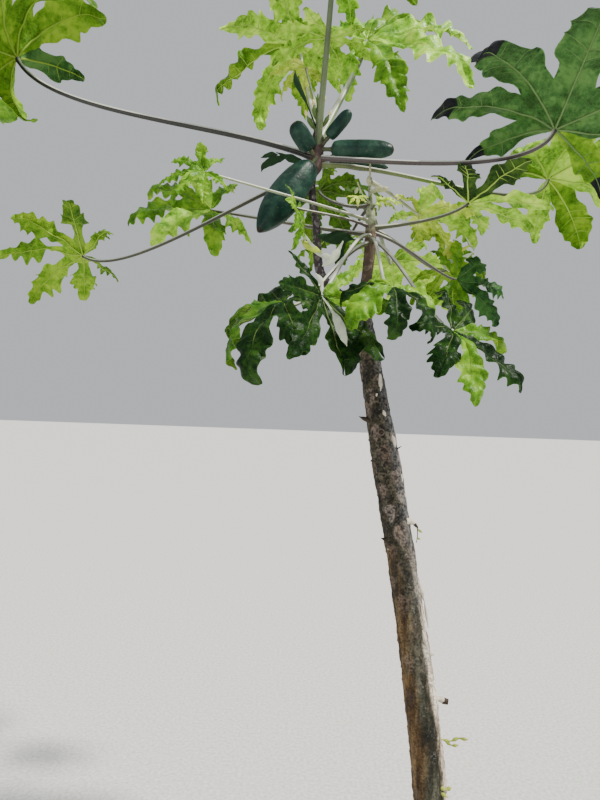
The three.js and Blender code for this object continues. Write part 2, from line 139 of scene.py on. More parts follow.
# A leaf with a cut of 1 has its sinuses this much deeper than a leaf with a cut of 0, and its teeth cut in by
# these shares. Lobes that have grown together have the webbed cut between them.
SINUS_CUT = 0.13
NOTCH_CUT = 0.5
TOOTH_CUT = 0.12
WEBBED_CUT = -3.1
# How far the edge points stray out and along, how much the lobes beside the stalk swell at their root, and
# over what share of the rib joined lobes part.
EDGE_SPREAD = 0.13
ALONG_SPREAD = 0.016
HEEL_SWELL = 0.6
JOIN_FADE = 0.2
# The blade's mesh: the share of the rib from row to row, and the columns from the rib to the edge.
ROW_STEP = 0.022
BLADE_COLUMNS = 5
BLADE_HALF_THICKNESS = 0.5
# Veins: places on the rib of the two nearest the middle, then the radii and sides of a rib and a side vein,
# how deep they sit and how they thin out, the shortest step along one, and how far a side vein bends.
INNER_VEINS = (0.1, 0.17)
RIB_RADIUS, RIB_SIDES = 3.1, 5
VEIN_RADIUS, VEIN_SIDES = 1.45, 4
VEIN_SUNK = 0.3
VEIN_TIP, VEIN_TAPER = 0.2, 0.85
SHORTEST_STEP = 0.2
VEIN_BEND = 0.25

# Relief of a blade, as shares of its lobe's length: the quilting between its side veins, and for a leaf with
# a wave or curl of 1 its wavy edge and the roll of its edge and tip. Then how many waves a lobe's edge has,
# and its folds: their depth, how far out they reach it, and their sizes and weights.
QUILTING = 0.016
WAVING = 0.02
ROLLING = 0.05
EDGE_WAVES = (5.5, 8.5)
FOLD_DEPTH = 10
FOLD_REACH = 90
FOLDS = ((95, 1), (40, 0.35), (20, 0.12))
# Lobes that dry out are dry from this place on the rib.
DRY_FROM = 0.76

# Finish of the stalks, the fruit and the small parts: the sides round each, how far apart its rings lie, and
# how it swells. FRUIT_NECK holds places and radii along a fruit's stalk, counted from the fruit.
STALK_SIDES = 14
STALK_RING = 9
FOOT_SWELLING, FOOT_SWELLING_LENGTH = 0.42, 24
TIP_SWELLING, TIP_SWELLING_LENGTH = 0.3, 10
FRUIT_SIDES = 60
FRUIT_STALK_LENGTH = 26
FRUIT_RIDGES = 5
FRUIT_RIDGE_SHARE = 0.035
FRUIT_FINE_RIDGES = 0.18
FRUIT_NECK = [(-FRUIT_STALK_LENGTH, 7), (-0.5 * FRUIT_STALK_LENGTH, 5.6), (-3, 6.2)]
FRUIT_RINGS = 7
SMALL_SIDES = 14
SMALL_RING = 1.5
# A scrap of leaf is this many times wider than it is thick.
SCRAP_WIDTH = 5

# Bark of each limb: the sides round it, the height of a ring of points, how far its scars' relief and its
# wrinkles go, the step between leaf scars, their seed, and half a scar's width and height by share.
BARKS = {
    "trunk": {
        "sides": 100, "ring": 3.1, "relief": 1.7, "wobble": 2.1, "step": 12.5, "seed": 11,
        "width": [(0, 34), (0.5, 27), (0.8, 22), (1, 15)],
        "height": [(0, 15), (0.35, 18), (0.55, 29), (0.8, 27), (1, 16)],
    },
    "side_stem": {
        "sides": 56, "ring": 1.5, "relief": 1.1, "wobble": 0.5, "step": 8.5, "seed": 12,
        "width": [(0, 9), (1, 9)], "height": [(0, 5.5), (1, 5.5)],
    },
    "upper_stem": {
        "sides": 56, "ring": 1.9, "relief": 0.8, "wobble": 0.4, "step": 12, "seed": 13,
        "width": [(0, 8), (1, 8)], "height": [(0, 6), (1, 6)],
    },
}
# Leaf scars follow each other by this turn in degrees, give or take the spread. The first one is this share
# of a step up, and turned by up to so many radians. The ranges are shares of a scar's usual size, of its
# height and of the step to the next one. Wrinkles have these widths, heights and weights.
SCAR_TURN, SCAR_TURN_SPREAD = 137.5, 12
FIRST_SCAR, FIRST_TURN = 0.6, 6.28
SCAR_SIZES, SCAR_HEIGHTS, SCAR_STEPS = (0.75, 1.2), (0.85, 1.15), (0.7, 1.3)
SCAR_SINK, RIM_RISE, RIM_WIDTH = 0.75, 0.9, 0.12
WRINKLES = ((26, 60, 1), (9, 20, 0.5))


def seeded(seed, lobe, use):
    """The part's share from 0 to 1 for one leaf, lobe and use."""
    wave = math.sin((seed * SEED_STEP + lobe * LOBE_STEP + use) * WAVE_STEP) * WAVE_HEIGHT
    return wave - math.floor(wave)


def direction(heading, slope=0.0):
    """A level direction of a heading in degrees, raised by a slope."""
    turn, climb = math.radians(heading), math.radians(slope)
    return np.array([math.cos(climb) * math.cos(turn), math.cos(climb) * math.sin(turn), math.sin(climb)])


def unit(vector):
    return vector / np.linalg.norm(vector)


def smooth(share):
    share = np.clip(share, 0, 1)
    return share * share * (3 - 2 * share)


def eased(value, start, width):
    """Rises from 0 to 1 while a value goes from the start over the width."""
    return smooth((value - start) / width)


def between(stops, share):
    """A value by share, eased between its stops."""
    places = [place for place, _ in stops]
    values = [value for _, value in stops]
    share = np.asarray(share, float)
    k = np.clip(np.searchsorted(places, share), 1, len(stops) - 1)
    low, high = np.take(places, k - 1), np.take(places, k)
    ease = eased(share, low, high - low)
    return np.take(values, k - 1) * (1 - ease) + np.take(values, k) * ease


class Path:
    """A curve held as many points, read by share of its length."""

    def __init__(self, points):
        self.points = np.asarray(points, float)
        steps = np.linalg.norm(np.diff(self.points, axis=0), axis=1)
        self.run = np.concatenate([[0], np.cumsum(steps)])
        self.length = self.run[-1]

    def at(self, shares):
        run = np.asarray(shares, float) * self.length
        return np.stack([np.interp(run, self.run, self.points[:, k]) for k in range(3)], axis=-1)

    def share_at_height(self, height):
        return float(np.interp(height, self.points[:, 2], self.run) / self.length)


def bezier(a, b, c, d, count=160):
    t = np.linspace(0, 1, count)[:, None]
    a, b, c, d = (np.asarray(p, float) for p in (a, b, c, d))
    return Path((1 - t) ** 3 * a + 3 * (1 - t) ** 2 * t * b + 3 * (1 - t) * t**2 * c + t**3 * d)


def through(points, count=40):
    """A centripetal Catmull-Rom curve through points."""
    points = np.asarray(points, float)
    padded = np.vstack([2 * points[0] - points[1], points, 2 * points[-1] - points[-2]])
    rows = []
    for p0, p1, p2, p3 in zip(padded, padded[1:], padded[2:], padded[3:]):
        knots = [np.linalg.norm(b - a) ** 0.5 for a, b in ((p0, p1), (p1, p2), (p2, p3))]
        d0, d1, d2 = knots
        m1 = ((p1 - p0) / d0 - (p2 - p0) / (d0 + d1) + (p2 - p1) / d1) * d1
        m2 = ((p2 - p1) / d1 - (p3 - p1) / (d1 + d2) + (p3 - p2) / d2) * d1
        t = np.linspace(0, 1, count, endpoint=False)[:, None]
        c2 = -3 * p1 + 3 * p2 - 2 * m1 - m2
        c3 = 2 * p1 - 2 * p2 + m1 + m2
        rows.append(p1 + m1 * t + c2 * t**2 + c3 * t**3)
    rows.append(points[-1:])
    return Path(np.vstack(rows))


def frames_along(points):
    """Two directions across the path at each point, carried along it without twist."""
    tangents = np.gradient(points, axis=0)
    tangents /= np.linalg.norm(tangents, axis=1)[:, None]
    start = np.array([0.0, -1.0, 0.0]) if abs(tangents[0][1]) < 0.8 else np.array([1.0, 0.0, 0.0])
    side = unit(start - start.dot(tangents[0]) * tangents[0])
    sides = []
    for tangent in tangents:
        side = unit(side - side.dot(tangent) * tangent)
        sides.append(side)
    sides = np.array(sides)
    return sides, np.cross(tangents, sides)


def even_turns(sides):
    """The turns in radians of points set evenly round a circle."""
    return np.arange(sides) * 2 * math.pi / sides


def spokes(points, sides, widen=1.0):
    """The directions out of a path, round it at each of its points, and longer one way where widened."""
    across, up = frames_along(points)
    turns = even_turns(sides)
    return across[:, None] * np.cos(turns)[None, :, None] + up[:, None] * np.sin(turns)[None, :, None] * widen


def limb_faces(rows, sides):
    """The faces between rings of points, and a fan at each end round one of the two points that follow."""
    steps = [(j, (j + 1) % sides) for j in range(sides)]
    last, low = (rows - 1) * sides, rows * sides
    faces = [(a + j, a + k, a + sides + k, a + sides + j) for a in range(0, last, sides) for j, k in steps]
    faces += [(low, k, j) for j, k in steps]
    return faces + [(low + 1, last + j, last + k) for j, k in steps]


class Shape:
    """Points and faces of one piece, with a material number for each face."""

    def __init__(self):
        self.points = []
        self.faces = []
        self.numbers = []
        self.count = 0

    def add(self, points, faces, number=0):
        self.points.append(np.asarray(points, float).reshape(-1, 3))
        self.faces.extend([tuple(int(i) + self.count for i in face) for face in faces])
        self.numbers.extend([number] * len(faces) if np.isscalar(number) else number)
        self.count += len(self.points[-1])

    def limb(self, rings, ends, number=0):
        """A closed limb from rings of points and the middle point of each end."""
        self.add(np.vstack([rings.reshape(-1, 3), *ends]), limb_faces(*rings.shape[:2]), number)

    def tube(self, points, radii, sides, number=0, widen=1.0):
        """A closed round limb along points. Gives the directions out of it."""
        points = np.asarray(points, float)
        radii = np.broadcast_to(radii, len(points))
        outward = spokes(points, sides, widen)
        self.limb(points[:, None] + outward * radii[:, None, None], (points[:1], points[-1:]), number)
        return outward

    def piece(self, name, materials, slot, *nodes):
        """Makes the piece, rides it on the tree and lets it stand for its CAD nodes."""
        data = bpy.data.meshes.new(name)
        data.from_pydata((np.vstack(self.points) * MM).tolist(), [], self.faces)
        data.polygons.foreach_set("material_index", self.numbers)
        data.polygons.foreach_set("use_smooth", [True] * len(self.faces))
        data.update()
        piece = add_object(name, data)
        for material in materials:
            data.materials.append(material)
        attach(piece, ROOT)
        if nodes:
            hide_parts(*nodes)
        return piece


def add_object(name, data):
    made = bpy.data.objects.new(name, data)
    bpy.context.scene.collection.objects.link(made)
    return made


def mark(piece, name, values):
    """Gives each point of a piece a value that its materials read."""
    layer = piece.data.attributes.new(name, "FLOAT", "POINT")
    layer.data.foreach_set("value", np.asarray(values, np.float32))


# Materials

# Most of a noise lies in this range.
NOISE_RANGE = (0.3, 0.7)
NOISE_ROUGHNESS = 0.55


class Look:
    """A node material with short calls for its usual nodes. A value is a number, a colour or a socket."""

    def __init__(self, name, roughness, specular):
        self.material = bpy.data.materials.new(name)
        self.material.use_nodes = True
        self.tree = self.material.node_tree
        self.shader = self.tree.nodes["Principled BSDF"]
        self.feed(roughness, self.shader.inputs["Roughness"])
        self.feed(specular, self.shader.inputs["Specular IOR Level"])
        self.place = self.node("ShaderNodeTexCoord").outputs["Object"]

    def feed(self, value, socket):
        """Links a value to a socket, or sets it there."""
        if isinstance(value, bpy.types.NodeSocket):
            self.tree.links.new(value, socket)
        else:
            socket.default_value = (*value, 1) if socket.type == "RGBA" else value

    def node(self, kind, **values):
        made = self.tree.nodes.new(kind)
        for key, value in values.items():
            if key in made.inputs:
                self.feed(value, made.inputs[key])
            else:
                setattr(made, key, value)
        return made

    def filled(self, kind, values, **settings):
        """A node whose first inputs take the values in turn. Gives its first output."""
        made = self.node(kind, **settings)
        for value, socket in zip(values, made.inputs):
            self.feed(value, socket)
        return made.outputs[0]

    def noise(self, scale, detail=3, stretch=None):
        place = self.place
        if stretch:
            place = self.node("ShaderNodeMapping", Vector=place, Scale=stretch).outputs["Vector"]
        values = {"Vector": place, "Scale": scale, "Detail": detail, "Roughness": NOISE_ROUGHNESS}
        return self.node("ShaderNodeTexNoise", **values).outputs["Fac"]

    def ramp(self, factor, stops):
        made = self.node("ShaderNodeValToRGB", Fac=factor)
        elements = made.color_ramp.elements
        while len(elements) < len(stops):
            elements.new(0.5)
        for element, (position, colour) in zip(elements, stops):
            element.position = position
            element.color = (*colour, 1)
        return made.outputs["Color"]

    def range(self, factor, low, high, to_low=0.0, to_high=1.0):
        return self.filled("ShaderNodeMapRange", (factor, low, high, to_low, to_high))

    def mix(self, factor, first, second, blend="MIX"):
        made = self.node("ShaderNodeMix", data_type="RGBA", blend_type=blend)
        for value, index in ((factor, 0), (first, 6), (second, 7)):
            self.feed(value, made.inputs[index])
        return made.outputs[2]

    def multiply(self, first, second):
        return self.filled("ShaderNodeMath", (first, second), operation="MULTIPLY")

    def scaled_sum(self, value, times, plus):
        return self.filled("ShaderNodeMath", (value, times, plus), operation="MULTIPLY_ADD")

    def rough_height(self, scale, depth):
        """The height above ground in metres, raised unevenly by up to a depth."""
        height = self.node("ShaderNodeSeparateXYZ", Vector=self.place).outputs["Z"]
        return self.scaled_sum(self.noise(scale), depth, height)

    def attribute(self, name):
        return self.node("ShaderNodeAttribute", attribute_name=name).outputs["Fac"]

    def colour(self, socket):
        self.feed(socket, self.shader.inputs["Base Color"])

    def roughness(self, factor, low, high):
        self.feed(self.range(factor, *NOISE_RANGE, low, high), self.shader.inputs["Roughness"])

    def bump(self, *layers):
        """Stacks bumps: pairs of a height socket and its depth in metres."""
        normal = None
        for height, depth in layers:
            made = self.node("ShaderNodeBump", Strength=1.0, Distance=depth, Height=height)
            if normal is not None:
                self.feed(normal, made.inputs["Normal"])
            normal = made.outputs["Normal"]
        self.feed(normal, self.shader.inputs["Normal"])


def shade(colour, factor):
    return tuple(min(1.0, c * factor) for c in colour)


def leaf_look(name, deep, base, bloom, roughness, specular):
    """A waxy leaf side: mottled from deep to yellowish green, with a fine net of small veins and a painted
    highlight along its edge, where light catches the rim."""
    look = Look(name, roughness, specular)
    patches = look.scaled_sum(look.noise(70), 0.5, look.noise(14))
    mottle = look.ramp(patches, [(0.6, deep), (0.75, base), (0.9, bloom)])
    cells = look.node("ShaderNodeTexVoronoi", Vector=look.place, Scale=105.0, feature="DISTANCE_TO_EDGE")
    net = look.range(cells.outputs["Distance"], 0.0, 0.12)
    netted = look.mix(look.multiply(look.range(net, 1.0, 0.0), 0.3), mottle, bloom)
    # Painted highlight: a pale band along the blade's edge, where light catches the curled rim.
    rim_highlight = look.range(look.attribute("edge"), 0.72, 1.0, 0.0, 0.75)
    look.colour(look.mix(rim_highlight, netted, shade(bloom, 1.25)))
    look.roughness(look.noise(40, 2), roughness - 0.06, roughness + 0.14)
    look.bump((net, 0.0002), (look.noise(45), 0.003))
    return look.material


def vein_look(name, colour):
    look = Look(name, 0.55, 0.15)
    look.colour(look.ramp(look.noise(30, 2), [(0.3, shade(colour, 0.8)), (0.7, colour)]))
    look.bump((look.noise(300, 2), 0.0002))
    return look.material


def stalk_look(name, colour, tinge):
    """A smooth leaf stalk: a tinge in patches, small pale pores and a painted highlight of sunlight along its
    top.
    """
    look = Look(name, 0.3, 0.35)
    tint = look.ramp(look.noise(7), [(0.35, colour), (0.65, tinge)])
    pores = look.range(look.noise(420, 1), 0.62, 0.75, 0.0, 0.45)
    pored = look.mix(pores, tint, shade(colour, 1.45))
    # Painted highlight: the upward side of the stalk is turned pale, as if the sun caught it.
    look.colour(look.mix(look.range(look.attribute("top"), 0.05, 0.5, 0.0, 0.9), pored, STALK_PAINTED_HIGHLIGHT))
    look.roughness(look.noise(60, 2), 0.24, 0.4)
    look.bump((look.noise(160), 0.0006))
    return look.material


# Colours of the bark and the fruit, linear. The lists are ramps from their dark to their light places.
OLIVE = [(0.36, (0.014, 0.012, 0.007)), (0.5, (0.038, 0.033, 0.02)), (0.64, (0.1, 0.086, 0.06))]
OCHRE = [(0.38, (0.028, 0.016, 0.007)), (0.5, (0.1, 0.054, 0.018)), (0.64, (0.2, 0.13, 0.055))]
MOSS = [(0.38, (0.012, 0.012, 0.007)), (0.52, (0.036, 0.035, 0.021)), (0.66, (0.1, 0.097, 0.068))]
# Pale streaks that paint sunlight on the east side of the lower trunk.
SUNLIT_CREAM = [(0.36, (0.1, 0.075, 0.05)), (0.5, (0.44, 0.37, 0.28)), (0.62, (0.8, 0.72, 0.6))]
SCAR_TONES = [
    (0.0, (0.028, 0.024, 0.014)), (0.3, (0.055, 0.046, 0.03)), (0.5, (0.12, 0.086, 0.066)),
    (0.8, (0.16, 0.125, 0.1)), (1.0, (0.22, 0.19, 0.165)),
]
MOTTLING = [(0.4, (0.3, 0.3, 0.3)), (0.5, (1, 1, 1)), (0.66, (1.5, 1.42, 1.36))]
GRAIN = [(0.38, (0.5, 0.5, 0.5)), (0.56, (1.1, 1.1, 1.1))]
FRUIT_SKIN = [(0.34, (0.005, 0.02, 0.015)), (0.5, (0.01, 0.036, 0.026)), (0.68, (0.026, 0.068, 0.044))]
# The first of these is painted light: a lighter grey for the bark's sunlit east side.
EAST_PAINTED_LIGHT, PALE_RIM, PALE_FLECK = (0.13, 0.135, 0.15), (0.26, 0.23, 0.2), (0.3, 0.29, 0.27)


def bark_look():
    """Papaya bark: pinkish and pale grey leaf scars over olive brown above, upright streaks of ochre and grey
    green lower down, with pale flecks. Sunlight is painted on its east side: a lighter grey above, a cream
    band lower down and more of the pale flecks."""
    look = Look("bark", 0.86, 0.3)
    blotch, streaks = look.noise(27, 5), look.noise(46, 4, (1, 1, 0.16))
    east, scar = look.attribute("east"), look.attribute("scar")
    tones = look.ramp(look.attribute("tone"), SCAR_TONES)
    scarred = look.mix(look.multiply(scar, 0.72), look.ramp(blotch, OLIVE), tones)
    # Painted light: the east side, where the sun falls, is lightened to grey.
    scarred = look.mix(look.multiply(look.range(east, 0.1, 0.75), 0.5), scarred, EAST_PAINTED_LIGHT)
    scarred = look.mix(1.0, scarred, look.ramp(look.noise(85, 6), MOTTLING), "MULTIPLY")
    uneven = look.scaled_sum(look.noise(26, 3, (1, 1, 0.3)), 1.3, east)
    banded = look.mix(look.range(uneven, 0.1, 0.6), look.ramp(streaks, OCHRE), look.ramp(streaks, MOSS))
    # Painted sunlight: on the east side lower down, the streaks turn into a pale cream band.
    banded = look.mix(look.range(uneven, 1.12, 1.4), banded, look.ramp(streaks, SUNLIT_CREAM))
    banded = look.mix(look.multiply(scar, 0.15), banded, tones)
    height = look.rough_height(9, 0.7)
    body = look.mix(look.range(height, 1.2, 1.55), banded, scarred)
    rims = look.multiply(look.attribute("rim"), look.range(height, 1.2, 1.6, 0.06, 0.32))
    rimmed = look.mix(look.multiply(rims, look.range(look.noise(50), 0.4, 0.6)), body, PALE_RIM)
    flecks = look.multiply(look.range(look.noise(200), 0.58, 0.66), look.range(look.noise(33), 0.44, 0.6))
    # The flecks are the bark's own, but they grow thicker towards the east side as painted glints of
    # sunlight.
    flecks = look.multiply(flecks, look.range(east, -0.4, 0.8, 0.15, 0.5))
    flecked = look.mix(flecks, rimmed, PALE_FLECK)
    look.colour(look.mix(1.0, flecked, look.ramp(look.noise(170, 5), GRAIN), "MULTIPLY"))
    look.roughness(blotch, 0.76, 0.95)
    look.bump((look.noise(60, 6, (1, 1, 0.4)), 0.0045), (look.noise(300, 4), 0.0013))
    return look.material


def stem_look(name, dark, pale, crown, crown_height):
    """A young stem: dull, with leaf scars round it and pale flecks, and of another colour in its crown."""
    look = Look(name, 0.72, 0.2)
    fine, coarse = look.noise(210, 4), look.noise(120, 4, (1, 1, 0.5))
    scar, rim = look.attribute("scar"), look.attribute("rim")
    body = look.ramp(look.noise(28, 4), [(0.32, dark), (0.68, shade(dark, 1.8))])
    body = look.mix(look.multiply(look.range(coarse, 0.58, 0.66), 0.6), body, pale)
    marked = look.mix(look.multiply(scar, 0.45), body, shade(pale, 0.6))
    marked = look.mix(look.multiply(rim, 0.55), marked, pale)
    green = look.ramp(look.noise(60, 4), [(0.35, shade(crown, 0.5)), (0.65, crown)])
    crowned = look.mix(look.multiply(rim, 0.5), green, shade(crown, 1.6))
    in_crown = look.range(look.rough_height(30, 0.06), crown_height, crown_height + 0.035)
    tall = look.mix(in_crown, marked, crowned)
    look.colour(look.mix(look.range(fine, 0.35, 0.7, 0.0, 0.3), tall, shade(dark, 0.7)))
    look.bump((coarse, 0.0018), (fine, 0.0006))
    return look.material


def fruit_look():
    """Unripe waxy skin: deep dull green, mottled lighter, with small pale pores and a brown flower scar."""
    look = Look("fruit_skin", 0.45, 0.16)
    mottle = look.noise(24, 4)
    pores = look.range(look.noise(150, 2), 0.62, 0.74, 0.0, 0.3)
    skin = look.mix(pores, look.ramp(mottle, FRUIT_SKIN), (0.12, 0.17, 0.09))
    necked = look.mix(look.multiply(look.attribute("neck"), 0.8), skin, (0.09, 0.1, 0.05))
    look.colour(look.mix(look.attribute("blossom"), necked, (0.02, 0.014, 0.008)))
    look.roughness(mottle, 0.32, 0.52)
    look.bump((look.noise(42), 0.0026), (look.noise(320, 2), 0.0003))
    return look.material


def plain_look(name, colour, roughness=0.6):
    look = Look(name, roughness, 0.15)
    look.colour(look.ramp(look.noise(70), [(0.3, shade(colour, 0.7)), (0.7, colour)]))
    look.bump((look.noise(200), 0.0005))
    return look.material


# Bark


def scar_rows(path, radii, bark):
    """Leaf scars in a spiral: run along the axis, turn round it, half width, half height, the limb's radius
    there and a tone of its own."""
    rng = random.Random(bark["seed"])
    step, rows = bark["step"], []
    run, turn = step * FIRST_SCAR, rng.random() * FIRST_TURN
    while run < path.length - 2:
        share = run / path.length
        size = rng.uniform(*SCAR_SIZES)
        wide = float(between(bark["width"], share)) * size
        tall = float(between(bark["height"], share)) * size * rng.uniform(*SCAR_HEIGHTS)
        rows.append((run, turn, wide, tall, float(between(radii, share)), rng.random()))
        run += step * rng.uniform(*SCAR_STEPS)
        turn += math.radians(SCAR_TURN + rng.uniform(-SCAR_TURN_SPREAD, SCAR_TURN_SPREAD))
    return rows


def shield(across, up):
    """How far inside a leaf scar a place is: 1 inside, falling to 0 at its edge. Wide top, pointed foot."""
    level = np.clip((up + 1) / 2, 0, 1)
    wide = level**0.62 * np.sqrt(np.clip(1 - np.clip((level - 0.72) / 0.3, 0, 1) ** 2, 0, 1))
    inside = wide - np.abs(across)
    return np.where(np.abs(up) < 1.15, inside, -1.0)


def scar_marks(scars, runs, turns):
    """For each place on a limb: how far it is in a leaf scar, on a scar's rim, and that scar's tone."""
    scar, rim, tone = (np.zeros((len(runs), len(turns))) for _ in range(3))
    for run, turn, wide, tall, around, own_tone in scars:
        near = np.abs(runs - run) < tall * 1.3
        x = (turns - turn + math.pi) % (2 * math.pi) - math.pi
        sway = 0.1 * np.sin(turns * 5 + run)[None, :]
        above = runs[near, None] - run
        depth = shield(x[None, :] * around / wide + 0.06 * np.sin(above / 5), above / tall + sway)
        inside = smooth(depth * 6)
        edge = np.exp(-((depth / RIM_WIDTH) ** 2)) * (depth > -0.9)
        rim[near] = np.maximum(rim[near] * (1 - inside), edge)
        tone[near] = tone[near] * (1 - inside) + own_tone * inside
        scar[near] = np.maximum(scar[near], inside)
    return scar, rim, tone


def wrinkles(radius, runs, turns):
    """Random folds of the bark, longer along the limb than round it."""
    x = np.cos(turns)[None, :] * radius[:, None]
    y = np.sin(turns)[None, :] * radius[:, None]
    z = np.broadcast_to(runs[:, None], x.shape)
    heights = [
        sum(weight * noise.noise(Vector((a / wide, b / wide, c / tall))) for wide, tall, weight in WRINKLES)
        for a, b, c in zip(x.ravel(), y.ravel(), z.ravel())
    ]
    return np.array(heights).reshape(x.shape)


def bark_piece(node, slot, material, path, radii):
    """A limb with the relief of its bark: sunk leaf scars with raised rims, folds and wrinkles."""
    bark = BARKS[node]
    shares = np.linspace(0, 1, max(8, int(path.length / bark["ring"])))
    centres, radius, runs = path.at(shares), between(radii, shares), shares * path.length
    turns = even_turns(bark["sides"])
    scar, rim, tone = scar_marks(scar_rows(path, radii, bark), runs, turns)
    folded = radius[:, None] + bark["wobble"] * wrinkles(radius, runs, turns)
    reach = folded + bark["relief"] * (RIM_RISE * rim - SCAR_SINK * scar)
    outward = spokes(centres, bark["sides"])
    points = centres[:, None] + outward * reach[..., None]
    points[..., 2] = np.maximum(points[..., 2], 0)
    shape = Shape()
    shape.limb(points, (points[0].mean(0), points[-1].mean(0)))
    piece = shape.piece(f"fine_{node}", [material], slot, node)
    # east is how far each point faces +X, the sunny side where light is painted on the bark.
    for key, values in (("scar", scar), ("rim", rim), ("tone", tone), ("east", outward[..., 0])):
        mark(piece, key, np.append(values.ravel(), [0, 0]))


# Leaves


def lobe_of(leaf, seed, index):
    """One lobe's numbers, as in the part. Lobes count from the middle one, negative on the right."""
    rank = abs(index)

    def draw(use):
        return seeded(seed, index, use) * 2 - 1

    side = (index > 0) - (index < 0)
    return {
        "index": index,
        "rank": rank,
        "angle": math.radians(side * LOBE_ANGLES[rank] + draw(1) * LOBE_SPREAD["angle"]),
        "length": leaf["reach"] * LOBE_SHARES[rank] * (1 + draw(2) * LOBE_SPREAD["length"]),
        "rise": math.radians(LOBE_RISE),
        "bend": math.radians(LOBE_RISE + leaf["droop"] + draw(3) * LOBE_SPREAD["droop"]),
        "turn": math.radians(draw(4) * LOBE_SPREAD["turn"]),
        "widen": 1 + draw(5) * LOBE_SPREAD["edge"],
    }


def lobe_points(lobe, along, out):
    """Places on a lobe, at shares of its length along the rib and out to one side of it."""
    slope = lobe["rise"] - lobe["bend"] * along
    flat = (math.sin(lobe["rise"]) - np.sin(slope)) / lobe["bend"]
    high = (np.cos(slope) - math.cos(lobe["rise"])) / lobe["bend"]
    tilt = math.radians(LOBE_FOLD) + lobe["turn"] * np.sign(out)
    aside = out * np.cos(tilt)
    above = np.abs(out) * np.sin(tilt)
    forward = flat - above * np.sin(slope)
    cos, sin = math.cos(lobe["angle"]), math.sin(lobe["angle"])
    places = np.stack(
        [forward * cos - aside * sin, forward * sin + aside * cos, high + above * np.cos(slope)], axis=-1
    )
    return places * lobe["length"]


def lobe_keys(profile, cut, half_angle, heel, widen, rng):
    """The edge points of one side of a lobe as the leaf has them: cut deeper, and no two alike. A cut below 0
    lets two lobes grow together, and moves the edge points outward."""
    keys = []
    outer = min(1, 1 + SINUS_CUT * cut / (1 - RIB_START))
    for rib, along, out, bulge, _ in profile:
        if along is SINUS and heel:
            rib, along, out = rib - SINUS_CUT * cut, *HEEL
        elif along is SINUS:
            reach, rib = SINUS_SHARE - SINUS_CUT * cut, rib - SINUS_CUT * cut
            along, out = reach * math.cos(half_angle), reach * math.sin(half_angle)
        elif along < 1:
            deeper = 1 - NOTCH_CUT * max(cut, 0) if bulge < 0 else 1 - TOOTH_CUT * cut
            out *= widen * deeper * (1 + rng.uniform(-EDGE_SPREAD, EDGE_SPREAD))
            along += rng.uniform(-ALONG_SPREAD, ALONG_SPREAD)
            rib, along = 1 - (1 - rib) * outer, 1 - (1 - along) * outer
        keys.append((rib, along, out, bulge))
    return keys


def edge_rows(keys):
    """Rows of rib place, along and out through the edge points, and the row number of each point."""
    rows, places, count = [], [0], 0
    for (rib, along, out, _), (rib_to, along_to, out_to, bulge) in zip(keys, keys[1:]):
        steps = max(2, round((rib_to - rib) / ROW_STEP))
        t = np.arange(steps) / steps
        arc = 4 * t * (1 - t) * bulge
        rows.append(np.stack([
            rib + (rib_to - rib) * t,
            along + (along_to - along) * t - arc * (out_to - out),
            out + (out_to - out) * t + arc * (along_to - along),
        ], axis=-1))
        count += steps
        places.append(count)
    rows.append(np.array([keys[-1][:3]]))
    return np.vstack(rows), places


def soften(rows, passes):
    """Rounds the corners of an edge, apart from its two ends."""
    for _ in range(passes):
        rows[1:-1, 1:] = (rows[:-2, 1:] + 2 * rows[1:-1, 1:] + rows[2:, 1:]) / 4
    return rows


def inner_rows(first, swell):
    """Rows from the blade's middle to the edge's first point."""
    rib, along, out, _ = first
    count = max(4, round(rib / ROW_STEP))
    t = np.arange(count) / count
    return np.stack([rib * t, along * t, out * t * (1 + swell * (1 - t))], axis=-1)


def half_lobe(lobe, side, neighbour, profile, leaf, rng):
    """One side of a lobe: its rows, a grid of places from the rib to the edge, where the free edge starts,
    and the row of each edge point."""
    heel = neighbour is None
    half_angle = 0.0 if heel else abs(neighbour["angle"] - lobe["angle"]) / 2
    webbed = not heel and min(lobe["index"], neighbour["index"]) in leaf["webs"]
    cut = WEBBED_CUT if webbed else leaf["cut"]
    keys = lobe_keys(profile, cut, half_angle, heel, lobe["widen"], rng)
    inner = inner_rows(keys[0], HEEL_SWELL if heel else 0)
    outer, key_rows = edge_rows(keys)
    outer = soften(outer, leaf["round"])
    rows = np.vstack([inner, outer])
    share = np.linspace(0, 1, BLADE_COLUMNS + 1)
    rib, along, out = rows[:, 0:1], rows[:, 1:2], rows[:, 2:3]
    across = share[None, :] ** 0.9
    lines = rib + (along - rib) * ((1 - VEIN_BEND) * across + VEIN_BEND * across**2)
    places = lobe_points(lobe, lines, side * out * across)
    if not heel:
        pull = joining_pull(lobe, neighbour, side, rows, len(inner))
        places += pull[:, None] * (share**1.6)[None, :, None]
    return rows, places, 0 if heel else len(inner), [len(inner) + row for row in key_rows]


def joining_pull(lobe, neighbour, side, rows, inner):
    """How far each row's edge moves, so that two lobes meet halfway up to their sinus and part softly after
    it."""
    along, out = rows[: inner + 1, 1], rows[: inner + 1, 2]
    here, there = lobe_points(lobe, along, side * out), lobe_points(neighbour, along, -side * out)
    pull = np.zeros((len(rows), 3))
    pull[: inner + 1] = (there - here) / 2
    fade = 1 - eased(rows[inner + 1:, 0], rows[inner, 0], JOIN_FADE)
    pull[inner + 1:] = pull[inner] * fade[:, None]
    return pull


